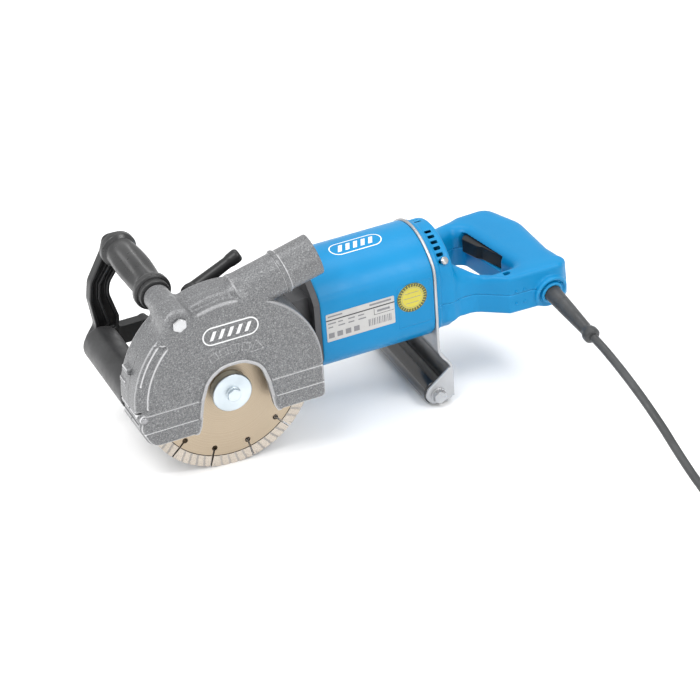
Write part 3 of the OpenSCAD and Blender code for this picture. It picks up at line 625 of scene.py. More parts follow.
def hex_bolt(name, at, outward, across, height, body, material, washer=0.0):
    """Hexagon head with a chamfered top, on a washer face if it has a washer radius."""
    corner = across / 2 / math.cos(math.pi / 6)
    base = WASHER_T if washer else 0.0

    def six_sided(t, r, angle):
        """Keeps the rings of the head inside the hexagon; the washer below stays round."""
        local = (angle + math.pi / 6) % (math.pi / 3) - math.pi / 6
        return r if t <= base and r != corner else min(r, across / 2 / math.cos(local))

    rings = [(0.0, washer - 0.3), (0.2, washer), (1.2, washer), (1.6, washer - 0.5),
             (WASHER_T, across * 0.55)] if washer else []
    rings += [(base, corner), (base + height * 0.72, corner), (base + height * 0.9, corner * 0.955),
              (base + height, across * 0.44), (base + height - 0.35, across * 0.30),
              (base + height - 0.45, 0.01)]
    return turned(name, at, outward, rings, body, material, (), 48, six_sided, sharp=22)


# ---- cord ----
CORD_D = 9.0
COIL_MID = (334.0, -432.0)
COIL_IN_R = 47.0
gland = np.array(GLAND_AT)
sleeve_dir = np.array([math.sin(SLEEVE_LEAN) * math.cos(SLEEVE_DROOP),
                       -math.cos(SLEEVE_LEAN) * math.cos(SLEEVE_DROOP), -math.sin(SLEEVE_DROOP)])
exit_point = stood([gland + (GLAND_LEN + SLEEVE_LEN) * sleeve_dir])[0] / MM
exit_dir = exit_point - stood([gland])[0] / MM
exit_dir = exit_dir / np.linalg.norm(exit_dir)
CORD_ROUTE = [exit_point, exit_point + 20 * exit_dir, (229.5, -200, 92), (232, -225, 84), (235, -250, 74),
              (239, -276, 60.5), (243, -302, 45), (248, -328, 29.5), (254, -354, 16), (260, -376, 8.5),
              (265, -398, 5.2), (268, -415, 4.6), (269, -432, 4.5)]
TAIL_ROUTE = [(-47, 0, 31.5), (-47, -14, 34), (-45, -30, 38.5), (-40, -47, 40.5), (-31, -65, 40),
              (-19, -82, 33), (-4, -94, 25), (14, -101, 19.5), (32, -104, 18)]


def smooth_way(points, parts=6):
    """Catmull-Rom line through the points."""
    p = [np.array(q, float) for q in points]
    made = []
    for i in range(len(p) - 1):
        a, b, c, d = p[max(i - 1, 0)], p[i], p[i + 1], p[min(i + 2, len(p) - 1)]
        for k in range(parts):
            t = k / parts
            made.append(0.5 * (2 * b + (c - a) * t + (2 * a - 5 * b + 4 * c - d) * t * t
                               + (3 * b - a - 3 * c + d) * t ** 3))
    return made + [p[-1]]


def coil_turns(r0, r1, z0, z1, start, turns):
    """Turns of the coil, from one radius and height to another."""
    made = []
    count = round(TURN_POINTS * turns)
    for k in range(1, count + 1):
        t = k / count
        angle = math.radians(start) + 2 * math.pi * turns * t
        r = r0 + (r1 - r0) * t
        made.append(np.array((COIL_MID[0] + r * math.cos(angle), COIL_MID[1] + r * math.sin(angle),
                              z0 + (z1 - z0) * t)))
    return made


TURN_POINTS = 36
LAYERS = [COIL_IN_R + CORD_D * k for k in (2, 1, 0)]
LOW_Z, HIGH_Z = 4.5, 31.5
way = smooth_way(CORD_ROUTE)
for r0, r1, z0, z1, start, turns in (
        (LAYERS[0], LAYERS[0], LOW_Z, HIGH_Z, 180, 3), (LAYERS[0], LAYERS[1], HIGH_Z, HIGH_Z, 180, 0.5),
        (LAYERS[1], LAYERS[1], HIGH_Z, LOW_Z, 0, 3), (LAYERS[1], LAYERS[2], LOW_Z, LOW_Z, 0, 0.5),
        (LAYERS[2], LAYERS[2], LOW_Z, HIGH_Z, 180, 3)):
    way += coil_turns(r0, r1, z0, z1, start, turns)
way += smooth_way([(x + COIL_MID[0], y + COIL_MID[1], z) for x, y, z in TAIL_ROUTE])[1:]
way = np.array(way) * MM
curve = bpy.data.curves.new("mains_cable", "CURVE")
curve.dimensions = "3D"
curve.bevel_depth = CORD_D / 2 * MM
curve.bevel_resolution = 5
curve.use_fill_caps = True
spline = curve.splines.new("POLY")
spline.points.add(len(way) - 1)
spline.points.foreach_set("co", np.concatenate([way, np.ones((len(way), 1))], 1).ravel())
spline.use_smooth = True
curve.materials.append(CORD_RUBBER)
cable = bpy.data.objects.new("mains_cable", curve)
bpy.context.scene.collection.objects.link(cable)
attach(cable, "machine")
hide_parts("mains_cord", "cord_coil", "cord_tail")

# Strain relief: gland ring, tapered sleeve and its thick end
gland_profile = bevelled([(-2.0, 8.9), (1.0, 9.0), (GLAND_LEN, 8.4)], 0.5)
turned("gland_ring", gland, sleeve_dir, gland_profile, "machine", CORD_RUBBER, ["gland_bush"],
       40)
sleeve_profile = bevelled([(0, 8.2), (4, 8.3), (SLEEVE_LEN - 13, 6.5), (SLEEVE_LEN - 9, 8.2),
                           (SLEEVE_LEN - 6.5, 8.9), (SLEEVE_LEN - 1.5, 8.7), (SLEEVE_LEN - 0.2, 6.4),
                           (SLEEVE_LEN, 4.55)], 1.2, 5)
sleeve = turned("strain_relief", gland + GLAND_LEN * sleeve_dir, sleeve_dir, sleeve_profile, "machine",
                CORD_RUBBER, ["cable_sleeve"], 40)

# Plug: boot with grip rings, round body and two pins
plug_start = np.array([COIL_MID[0] + 32, COIL_MID[1] - 104, 18.0])
to_tool = np.linalg.inv(STAND_ROWS)


def tool_point(p):
    return to_tool[:3, :3] @ (np.array(p) * MM) + to_tool[:3, 3]


plug_at = tool_point(plug_start)
plug_dir = tool_point(plug_start + [1, 0, 0]) - plug_at
plug_profile = [(0, 4.6), (0.3, 8.8)]
for k in range(5):
    plug_profile += [(t + k * 4, r + k * 1.1) for t, r in ((2, 9.4), (3.6, 9.6), (4.0, 8.6), (5.4, 8.8))]
plug_profile += [(23, 14.5), (26, 16.5), (28, 17.9), (36, 17.9), (37.2, 16.8), (37.4, 4.0)]
plug = turned("plug_body", plug_at, plug_dir, bevelled(plug_profile, 0.6, 2), "machine",
              GRIP_RUBBER, ["mains_plug"], 48)
for n, shift in enumerate((-9.5, 9.5)):
    pin_at = tool_point(plug_start + [36.5, shift, 0])
    pin_profile = bevelled([(0, 2.35), (18.2, 2.35), (19.4, 1.4), (19.5, 0.1)], 0.4)
    turned("plug_pin_%d" % (n + 1), pin_at, plug_dir, pin_profile, "machine",
                       BRASS, (), 20)

# ---- guard casting ----
GUARD_MID = (-1.0, 12.0)
GUARD_R = 97.0


def guard_outline(g):
    return arc(GUARD_MID, GUARD_R - g, 0, 180, 64) + rounded([
        (-1 - GUARD_R + g, GUARD_MID[1] - 2, 0), (-103 + g, -6, 10), (-92 + g * 0.6, -30, 14), (-60, -30, 0),
        (60, -30, 0), (96 - g, -30, 7), (96 - g, GUARD_MID[1] - 2, 0)])


NOTCH = rounded([(-48, -42, 0), (-38.5, -22, 12), (-33.5, 6, 30), (-26.0, 27.5, 22), (-10, 38, 24),
                 (11, 38, 24), (28, 27.5, 22), (34.5, 6, 30), (39, -22, 12), (49, -42, 0)])
WALL = 3.5
EMBOSS = 0.9
SCREW_AT = (-96.5, 4.5)


OVAL_MID = (1.0, 76.6)
OVAL_HALF_L, OVAL_HALF_W, OVAL_PITCH = 30.0, 10.5, 9.2
MARKS_X, MARKS_R = 3.0, 56.0


def oval_marks(x, z):
    """Raised oval ring with slanted bars inside."""
    u, v = x - OVAL_MID[0], z - OVAL_MID[1]
    oval = rect(u, v, -OVAL_HALF_L, OVAL_HALF_L, -OVAL_HALF_W, OVAL_HALF_W, OVAL_HALF_W)
    marks = abs(oval + 1.0) - 0.9
    for k in range(-2, 3):
        middle = k * OVAL_PITCH
        marks = np.minimum(marks, rect(u - v * 0.45, v, middle - 2.1, middle + 2.1, -5.2, 5.2, 0.8))
    return marks


def guard_marks(x, z):
    """Small raised frames in a row that ends in an arrowhead, along an arc over the notch."""
    def places(degrees):
        c, s = math.cos(math.radians(degrees)), math.sin(math.radians(degrees))
        return (x - MARKS_X) * s - z * c, (x - MARKS_X) * c + z * s - MARKS_R

    marks = abs(outline([(-4.5, -7), (-4.5, 7), (7, 0)], *places(64))) - 0.6
    for degrees in (113, 101, 89, 77):
        marks = np.minimum(marks, abs(rect(*places(degrees), -4.2, 4.2, -4.2, 4.2, 0.5)) - 0.55)
    return marks


def guard_field(at):
    x, y, z = at
    face = outline(guard_outline(0), x, z)
    body = slab(face, y, COVER_Y, BACK_Y, 2.6)
    away = np.hypot(x - GUARD_MID[0], z - GUARD_MID[1])
    shoulder = slab(outline(arc(GUARD_MID, 101.8, 74, 122, 24) + arc(GUARD_MID, 90, 122, 76, 24), x, z),
                    y, COVER_Y + 10, BACK_Y, 4.0)
    body = join(body, shoulder, 3.0)
    # band along the front edge, and the boss of the front grip with its web
    band = slab(outline(arc(GUARD_MID, 102.4, 124, 184, 30) + arc(GUARD_MID, 92, 184, 124, 24), x, z),
                y, COVER_Y + 4, BACK_Y, 2.0)
    body = join(body, band, 2.0)
    boss = rod(at, (GRIP_AXIS[0], COVER_Y, GRIP_AXIS[1]), (GRIP_AXIS[0], -22, GRIP_AXIS[1]), 14, 13.4, 3.5)
    web = slab(outline(rounded([(-74, 76, 4), (-66, 100, 8), (-57, 113.5, 8), (-44, 113.5, 8), (-33, 100, 8),
                                (-24, 84, 6), (-44, 74, 4)]), x, z), y, COVER_Y, -50, 4.5)
    body = join(join(body, web, 4.0), boss, 6.0)
    # the face falls away outside the ribs on the left
    slope = COVER_Y + 0.6 + 0.42 * (away - 91)
    left = np.maximum(np.maximum(91 - away, y - slope), np.maximum(np.maximum(x + 66, 10 - z), z - 80))
    body = cut(body, np.maximum(left, COVER_Y - 20 - y), 1.5)
    # raised lower zones of the face, whose upper ledges catch the light
    for level, lift in ((8.0, 1.3), (-11.0, 2.5)):
        zone = np.maximum(face + 1.6, z - level)
        body = join(body, slab(zone, y, COVER_Y - lift, COVER_Y + 6, 0.7), 0.5)
    # two long ribs from the boss down to the lower zone
    for reach, a0, a1, y0 in ((98.0, 121, 163, COVER_Y + 2.6), (90.5, 119, 178, COVER_Y - 0.9)):
        line = path_distance(arc(GUARD_MID, reach, a0, a1, 24), x, z)
        body = join(body, slab(line - 1.2, y, y0, y0 + 7, 0.8), 0.7)
    # ledges, lugs and a fin on the left end
    for level in (10.0, -2.0, -14.0):
        groove = slab(rect(x, z, -110, -94, level - 0.9, level + 0.9, 0.3), y, COVER_Y + 4, BACK_Y + 2)
        body = cut(body, np.maximum(groove, -(face + 1.3)), 0.4)
    for level, y0, y1, reach in ((45, -60, -46, -101.3), (28, -52, -38, -102.4)):
        lug = outline([(reach, level + 1), (reach, level + 6), (-88, level + 8), (-88, level - 6)], x, z)
        body = join(body, slab(lug, y, y0, y1, 0.8), 1.0)
    fin = outline([(-102.9, 12), (-102.0, 30), (-92, 52), (-92, 12)], x, z)
    body = join(body, slab(fin, y, -64.5, -61.5, 0.8), 1.0)
    # dust port with its fairing, and the blend into the arch
    t, out = axis_places(at, PORT_MOUTH, port_inward)
    tube = slab(out - PORT_R, t, 34, 88, 0.5)
    mouth = np.array(PORT_MOUTH)
    tip = mouth + 140 * port_inward + np.array([9 * math.sin(PORT_TILT), 0, -9])
    fairing = rod(at, mouth + 84 * port_inward, tip, PORT_R - 0.5, 12, 6)
    port = join(tube, fairing, 9.0)
    body = join(body, port, 1.6)
    # embossed marks and the bead round the notch
    body = join(body, slab(oval_marks(x, z), y, COVER_Y - EMBOSS, COVER_Y + 3, 0.3), 0.3)
    body = join(body, slab(guard_marks(x, z), y, COVER_Y - 0.7, COVER_Y + 3, 0.2), 0.2)
    hole = outline(NOTCH, x, z)
    bead = np.maximum(abs(hole - 2.0) - 2.0, face + 0.4)
    body = join(body, slab(bead, y, COVER_Y - 3.0, COVER_Y + 4, 1.7), 0.8)
    # hollow inside, open underneath
    hollow = slab(outline(guard_outline(WALL), x, z), y, COVER_Y + WALL, BACK_Y - WALL, 4.5)
    body = cut(body, hollow)
    body = cut(body, slab(rect(x, z, -87, 87, -50, 20), y, COVER_Y + WALL, BACK_Y - WALL, 1.0))
    body = cut(body, slab(hole, y, COVER_Y - 10, COVER_Y + WALL + 3))
    body = cut(body, slab(out - PORT_R + 2.5, t, -5, 86, 6))
    for middle, r in (((0, 0), 34.4), (CLAMP_AT, 4.1), (FRONT_AXLE, 5.1)):
        body = bored(body, at, middle, r, BACK_Y - 8, BACK_Y + 8)
    body = bored(body, at, GRIP_AXIS, 5.1, -100, -10)
    # raised seat for the bolt at the left corner of the face
    body = join(body, slab(circle(at, SCREW_AT, 4.6), y, COVER_Y - 0.9, COVER_Y + 8, 0.8), 0.6)
    # flat back, apart from the boss
    body = np.maximum(body, np.minimum(y - BACK_Y - 0.2, circle(at, GRIP_AXIS, 15.2)))
    return np.maximum(body, -slab(out - PORT_R - 4, t, -8, 36.0))


field_piece("guard_cover_casting", half(guard_field, 1, SPLIT_Y, 1), (-112, -86, -34), (106, -58, 132),
            "guard", HAMMERTONE, ["guard_front_cover"])
field_piece("guard_shell_casting", half(guard_field, 1, SPLIT_Y, -1), (-112, -61, -34), (106, -20, 132),
            "guard", HAMMERTONE, ["guard_rear_shell"])
lip = PORT_R - 2.5
port_profile = [(0.8, lip + 0.2), (0.0, lip + 0.9), (0.2, PORT_R - 0.5), (0.9, PORT_R), (34.6, PORT_R)]
port_profile += [(36 + 2.6 * (1 - math.cos(a)), PORT_R + 1.9 * math.sin(a))
                 for a in np.linspace(0.15, 2.99, 10)]
port_profile += [(42, PORT_R), (46, PORT_R - 0.6), (46, lip)]
turned("dust_port_tube", PORT_MOUTH, port_inward, port_profile, "guard", HAMMERTONE,
       ["dust_port"], 96, tube=True)
turned("cover_screw", (SCREW_AT[0], COVER_Y - 0.8, SCREW_AT[1]), (0, -1, 0),
       bevelled([(0, 3.4), (1.4, 3.4), (2.2, 2.6), (2.3, 0.1)]), "guard", DARK_STEEL, (), 32)


# ---- motor housing ----
def housing_section(at, g):
    round_part = np.hypot(at[1], at[2] - MOTOR_Z) - HOUSING_R - g
    flat_part = abs(at[1]) - HOUSING_FLAT - g
    return common(round_part, flat_part, 5.0)


FRONT_X, REAR_X, CAP_X, CAP_END_X = 109.0, 234.0, 237.0, 258.0


def housing_field(at):
    x, y, z = at
    body = slab(housing_section(at, 0), x, FRONT_X, REAR_X, 1.2)
    # panel line round the badge, on both flats
    frame_line = abs(rect(x, z, 193.0, 231.2, -0.5, 48, 1.5)) - 0.45
    body = cut(body, slab(frame_line, abs(y), HOUSING_FLAT - 0.7, HOUSING_FLAT + 2))
    # moulded seam along the upper and lower corners of the flats
    body = cut(body, slab(housing_section(at, -3.2), x, FRONT_X - 2, REAR_X + 2))
    return body


field_piece("motor_shell", housing_field, (106, -63, -41), (237, 63, 86), "machine", BLUE,
            ["motor_housing"], step=FINE * 1.2)

# ---- D-handle ----
HANDLE_PLAN = rounded([(CAP_END_X - 8, -47, 0), (281, -46, 20), (311, -67.5, 5), (370, -69.5, 12),
                       (383, -58, 12), (377, -28, 40), (377, 32, 40), (358, 79, 20), (318, 77, 14),
                       (292, 66, 20), (269, 56, 12), (CAP_END_X - 8, 50, 0)])
HOLE_PLAN = rounded([(265, -24, 8), (304, -46, 12), (330, -47, 10), (313, 42, 8), (303, 48, 8), (265, 24, 8)])
HANDLE_SIDE = [(CAP_END_X - 9, HANDLE_BOTTOM + 3), (268, HANDLE_BOTTOM), (384, HANDLE_BOTTOM),
               (384, HANDLE_TOP), (311, HANDLE_TOP), (289, HANDLE_TOP + 3), (272, HANDLE_TOP + 9),
               (CAP_END_X - 9, HANDLE_TOP + 20)]
HANDLE_SCREWS = [(313, -57), (366, 50), (326, 62), (272, 37), (272, -37)]


def handle_field(at):
    x, y, z = at
    plan = outline(HANDLE_PLAN, x, y)
    hand_hole = outline(HOLE_PLAN, x, y)
    side = outline(HANDLE_SIDE, x, z)
    # the bar and arms have large roundings above and below, smaller ones towards the hand hole
    soft = 4.0 + 13.0 * np.clip((z + 4) / 30, 0, 1) * np.clip((y + 72) / 22, 0.12, 1)
    tall = common(common(plan, side, soft), -hand_hole, soft * 0.8)
    cap = slab(housing_section(at, -3.0), x, CAP_X + 1, CAP_END_X, 3.0)
    body = join(tall, cap, 9.0)
    body = join(body, slab(housing_section(at, -1.3), x, CAP_X, 242.6, 0.8), 0.6)
    # collar round the gland
    t, out = axis_places(at, gland, sleeve_dir)
    body = join(body, slab(abs(out - 16.6) - 2.2, t, -9, 2.2, 2.0), 2.0)
    body = join(body, slab(out - 12.2, t, -8, 3.4, 1.6), 1.4)
    body = cut(body, slab(out - 9.1, t, -2.5, 20))
    # mouth for the trigger
    body = cut(body, slab(rect(x, y, 300, 353, -20, 45, 0.5), z, PART_Z + 0.2, 28.4, 0.3))
    # vent notches round the cap's rear rim
    for k in range(6):
        for sign in (-1, 1):
            a = math.radians(90 + sign * (12 + 7.5 * k))
            v = (y * math.cos(a) + (z - MOTOR_Z) * math.sin(a))
            u = (-y * math.sin(a) + (z - MOTOR_Z) * math.cos(a))
            vent = slab(rect(u, v, -1.9, 1.9, 46, 70), x, 244.6, 251.4, 0.5)
            body = cut(body, vent, 0.6)
    # screw hole on the near side
    body = cut(body, slab(np.hypot(x - HANDLE_SCREWS[0][0], y - HANDLE_SCREWS[0][1]) - 3.7, z, 16, 90), 1.2)
    # inside of the cap
    body = cut(body, slab(housing_section(at, -4.7), x, CAP_X - 4, CAP_END_X - 3.2))
    # parting line
    return cut(body, slab(abs(plan) - 0.5, z, PART_Z - 0.35, PART_Z + 0.35))


field_piece("handle_shell_lower", half(handle_field, 2, PART_Z, 1), (234, -84, -41), (388, 84, 13), "machine",
            BLUE, ["handle_lower"], step=FINE * 1.2, rounds=3)
field_piece("handle_shell_upper", half(handle_field, 2, PART_Z, -1), (234, -84, 10), (388, 84, 86), "machine",
            BLUE, ["handle_upper"], step=FINE * 1.2, rounds=3)
# two rows of pips beside the gland
for n, (px, pz) in enumerate(itertools.product((318.5, 327.5), (0.6, 14.8))):
    pip_y = -67.4 - (px - 311) * 0.034
    turned("handle_pip_%d" % (n + 1), (px, pip_y, pz), (0, -1, 0),
           [(0, 1.7), (0.5, 1.65), (0.9, 1.4), (1.2, 0.9), (1.3, 0.1)], "machine", BLUE, (),
           20)
turned("cap_screw", (249.5, -45.0, 60.5), (0.25, -0.66, 0.7),
       bevelled([(0, 4.2), (2.0, 4.2), (3.0, 3.0), (3.1, 0.1)]), "machine", ZINC, (), 32)
for n, (sx, sy) in enumerate(HANDLE_SCREWS):
    screw_top = 17.0 if n == 0 else 14.0
    shape = bevelled([(0, 2.0), (screw_top + 4.6, 2.0), (screw_top + 4.7, 3.5), (screw_top + 7, 3.4),
                      (screw_top + 6.4, 1.4), (screw_top + 5.4, 0.1)], 0.3)
    turned("shell_screw_%d" % (n + 1), (sx, sy, -7.0), (0, 0, 1), shape, "machine", DARK_STEEL,
           ["handle_screws"] if n == 0 else (), 24)


def trigger_field(at):
    x, y, z = at
    flat = outline(rounded([(344, -17.5, 3), (327.5, -18, 4), (318.5, 10, 4), (314, 15, 4), (307.5, 35, 3),
                            (312, 41, 4), (342, 38, 3)]), x, y)
    body = slab(flat, z, 12, 28, 1.2)
    return cut(body, slab(np.hypot(x - 338, y + 12) - 2.06, z, 8, 34))


field_piece("trigger_lever", trigger_field, (303, -22, 9), (348, 44, 31), "trigger",
            BLACK_PLASTIC, ["trigger"], step=FINE * 0.7)

# ---- rear plate with its swept bracket ----
SWEEP = [(235.5, -28), (235.5, -34), (235.8, -39), (237.2, -44), (240.2, -49.5), (244.4, -54.5),
         (247.6, -59.5), (249, -65), (249, -72), (249, -98)]
EAR = rounded([(250.5, -60, 3), (250.5, -97, 3), (244, -102, 6), (225, -102.5, 8), (217.5, -92, 8),
               (221, -83, 4)])


def plate_field(at):
    x, y, z = at
    plate = slab(housing_section(at, 1.5), x, REAR_X, CAP_X, 0.8)
    skirt = slab(rect(y, z, -52, 52, -34, -4, 1), x, REAR_X, CAP_X, 0.8)
    body = join(plate, skirt)
    body = cut(body, slab(np.hypot(y, z - MOTOR_Z) - 44, x, REAR_X - 4, CAP_X + 4))
    ear = outline(EAR, x, z)
    for y0 in (-52, 85):
        body = join(body, slab(ear, y, y0, y0 + 3, 0.7), 1.2)
    return bored(body, at, REAR_AXLE, 4.1, -60, 95)


def swept_sheet(name, line, half, y0, y1, body, material):
    """Bent sheet: a smooth line in X and Z with a thickness, extended along Y."""
    p = np.array(smooth_way(line, 8))
    along = np.gradient(p, axis=0)
    along /= np.linalg.norm(along, axis=1)[:, None]
    side = np.stack([-along[:, 1], along[:, 0]], 1)
    edge = np.concatenate([p + side * half, (p - side * half)[::-1]])
    count = len(edge)
    points = []
    for level, shrink in ((y0, 0.5), (y0 + 0.5, 0.0), (y1 - 0.5, 0.0), (y1, 0.5)):
        centre = np.concatenate([p, p[::-1]])
        ring = edge + (centre - edge) / half * shrink
        points += [(a, level, b) for a, b in ring]
    faces = [(j * count + i, (j + 1) * count + i, (j + 1) * count + (i + 1) % count,
              j * count + (i + 1) % count)
             for j in range(3) for i in range(count)]
    for base in (0, 3 * count):
        for i in range(count // 2 - 1):
            quad = (base + i, base + i + 1, base + count - 2 - i, base + count - 1 - i)
            faces.append(quad if base == 0 else quad[::-1])
    crease(add_piece(name, mesh_from(name, points, faces), body, [material]), 35)


swept_sheet("rear_bracket_sheet", SWEEP, 1.45, -52, 88, "machine", SHEET_ZINC)
field_piece("rear_bracket", plate_field, (212, -66, -106), (254, 92, 88), "machine", SHEET_ZINC,
            ["rear_plate"], step=FINE * 1.1)


# ---- rollers, bolts and front handle ----
def on_axis(axis, y):
    """Point at this Y on a line along Y."""
    return axis[0], y, axis[1]


roller_profile = bevelled([(0, 5.2), (0, 11.5), (1.6, 12.0), (1.6, 17.6), (0.4, 18.4), (0.4, 19.0),
                           (1.8, 20.0), (108.2, 20.0), (109.6, 19.0), (109.6, 18.4), (108.4, 17.6),
                           (108.4, 12.0), (110, 11.5), (110, 5.2)], 0.8)
turned("front_roller_tyre", on_axis(FRONT_AXLE, -26), (0, 1, 0), roller_profile, "front_roller",
       ROLLER_RUBBER, ["front_roller"], 96)
rear_profile = bevelled([(0, 4.2), (0, 12.2), (1.2, 13.5), (128.8, 13.5), (130, 12.2), (130, 4.2)], 0.7)
turned("rear_roller_tube", on_axis(REAR_AXLE, -47), (0, 1, 0), rear_profile, "rear_roller",
       GLOSS_BLACK, ["rear_roller"], 96)
for name, axis, y0, y1, r, body, node, ends in (
        ("rear_axle", REAR_AXLE, -54, 90, 4, "machine", "rear_axle_bolt",
         (("head", -52, -1, 13, 5.2, 8.5), ("nut", 88, 1, 13, 5.2, 8.5))),
        ("front_axle", FRONT_AXLE, -42, 100, 5, "guard", "front_axle_bolt", (("nut", 98, 1, 14, 5, 0),)),
        ("grip_rod", GRIP_AXIS, COVER_Y, 100, 5, "guard", "handle_rod",
         (("head", COVER_Y - 0.1, -1, 13.5, 4.0, 0), ("nut", 98, 1, 14, 4.5, 0)))):
    rod_profile = bevelled([(0, r - 0.6), (0.6, r), (y1 - y0 - 0.6, r), (y1 - y0, r - 0.6)], 0.4)
    turned(name, on_axis(axis, y0), (0, 1, 0), rod_profile, body, ZINC, [node], 40)
    for end, y, outward, across, height, washer in ends:
        hex_bolt(name + "_" + end, on_axis(axis, y), (0, outward, 0), across, height, body,
                 ZINC, washer)

GRIP_START = -22.0


def grip_flutes(t, r, angle):
    """Five long flutes that fade out towards both ends."""
    along = (t - 20) / 72
    if along <= 0 or along >= 1:
        return r
    fade = math.sin(math.pi * along) ** 0.55
    wave = (0.5 + 0.5 * math.cos(5 * angle + 0.6)) ** 1.5
    return r - 4.6 * fade * wave


grip_shape = [(0, 5.1), (0, 15.2), (0.8, 16), (5.2, 16), (6, 15.4), (6.2, 17.2), (6.9, 19.0), (7.8, 19.5),
              (12.6, 19.5), (13.8, 18.9), (14.6, 17.2), (15.6, 15.2), (17.2, 14.6)]
grip_body = [(17.2 + 78 * k / 40, 14.6 + 3.5 * math.sin(math.pi * min(k / 40 * 0.93 + 0.02, 1)) ** 0.8)
             for k in range(1, 41)]
grip_end = [(96.6, 15.4), (98.2, 17.2), (99.4, 18.6), (100.6, 19), (105.6, 19), (106.8, 18.2), (107, 16.5),
            (107, 5.1)]
turned("front_grip_rubber", on_axis(GRIP_AXIS, GRIP_START), (0, 1, 0),
       bevelled(grip_shape, 0.5, 3) + grip_body + bevelled(grip_end, 0.5, 3), "guard",
       GRIP_RUBBER, ["front_grip"], 128, grip_flutes)

ARM = rounded([(-61, 112, 8), (-41, 112, 8), (-39, 92, 6), (-62, 62, 20), (-64, 50, 20), (-56, 20, 16),
               (-62, -14, 10), (-84, -20, 14), (-96, -6, 12), (-82, 14, 10), (-86, 46, 20), (-83, 66, 20),
               (-66, 96, 20)])
ARM_Y = (86, 98)
ARM_LINE = [(-51, 108), (-53, 92), (-73, 63), (-75, 47), (-69, 16), (-76, -8)]


def arm_field(at):
    x, y, z = at
    flat = outline(ARM, x, z)
    body = slab(flat, y, *ARM_Y, 1.0)
    rib = path_distance(ARM_LINE, x, z)
    pocket = np.maximum(flat + 3.4, 1.3 - rib)
    keep = np.minimum(circle(at, GRIP_AXIS, 10), circle(at, FRONT_AXLE, 11))
    pocket = np.maximum(pocket, -keep)
    for y0, y1 in ((80, 90.5), (93.5, 104)):
        body = cut(body, slab(pocket, y, y0, y1, 0.8), 0.8)
    bar = slab(rect(x, z, -80, -26, -14, 8, 3), y, *ARM_Y, 1.0)
    body = join(body, bar, 3.0)
    w = np.clip((x + 26) / 12, 0, 1)
    link = np.maximum(rect(x, z, -32, -14, -14, 8, 2), abs(y - (92 - 39 * w)) - 6)
    body = join(body, link, 3.0)
    hub = slab(circle(at, (0, 0), 26), y, 47, 59, 1.2)
    body = join(body, hub, 2.0)
    body = bored(body, at, (0, 0), 18.05, 40, 66)
    for place in (GRIP_AXIS, FRONT_AXLE):
        body = bored(body, at, place, 5.1, ARM_Y[0] - 6, ARM_Y[1] + 6)
    return body


field_piece("front_arm", arm_field, (-100, 44, -30), (30, 101, 116), "guard", BLACK_PLASTIC,
            ["front_frame"], step=FINE)

LEVER_Y = -10.0
LEVER_DIR = (math.cos(math.radians(25.5)), 0.0, math.sin(math.radians(25.5)))


def lever_field(at):
    hub = rod(at, (CLAMP_AT[0], -28.5, CLAMP_AT[1]), (CLAMP_AT[0], -8, CLAMP_AT[1]), 9, None, 1.5)
    base = np.array([CLAMP_AT[0], LEVER_Y, CLAMP_AT[1]])
    d = np.array(LEVER_DIR)
    bar = rod(at, base, base + 58 * d, 7.2, 6.0, 0.5)
    tip = rod(at, base + 48 * d, base + 62.4 * d, 6.6, 7.4, 4.0)
    body = join(join(hub, bar, 3.0), tip, 2.5)
    return bored(body, at, CLAMP_AT, 4.1, -40, -13)


field_piece("clamp_handle", lever_field, (-24, -32, 74), (54, 2, 126), "clamp_lever",
            BLACK_PLASTIC, ["clamp_lever"], step=FINE * 0.8)

# ---- blades ----
CORE_T, RIM_T, RIM_IN = 0.9, 1.2, 78.0
SLOTS = 12
SLOT_IN = 69.0
COLUMNS = 56
PADS = 5
GROOVE_DEPTH = 0.5
HUB_R, JOINT_IN, CHAMFER_R = 20.0, 77.3, 89.8


def slot_half(r):
    """Half width of a cooling slot with a round bottom, at this distance from the axis."""
    if r < SLOT_IN - 3:
        return 0.0
    if r < SLOT_IN + 2.83:
        return max(math.sqrt(max(9 - (r - SLOT_IN) ** 2, 0)), 0.0)
    return 1.0


def in_groove(r, u, side):
    """Whether a place on a sector of the rim is in a slanted groove; u runs from 0 to 1 along the sector."""
    return (u * PADS + (r - 84) / 34 * side) % 1.0 < 0.26 and 0.06 < u < 0.95


def half_thickness(r, u, side):
    if r >= RIM_IN:
        edge = 0.25 if r > CHAMFER_R else 0.0
        return RIM_T - (GROOVE_DEPTH if in_groove(r, u, side) else 0.0) - edge
    if r > JOINT_IN:
        return CORE_T - 0.25
    return RIM_T if r < HUB_R else CORE_T


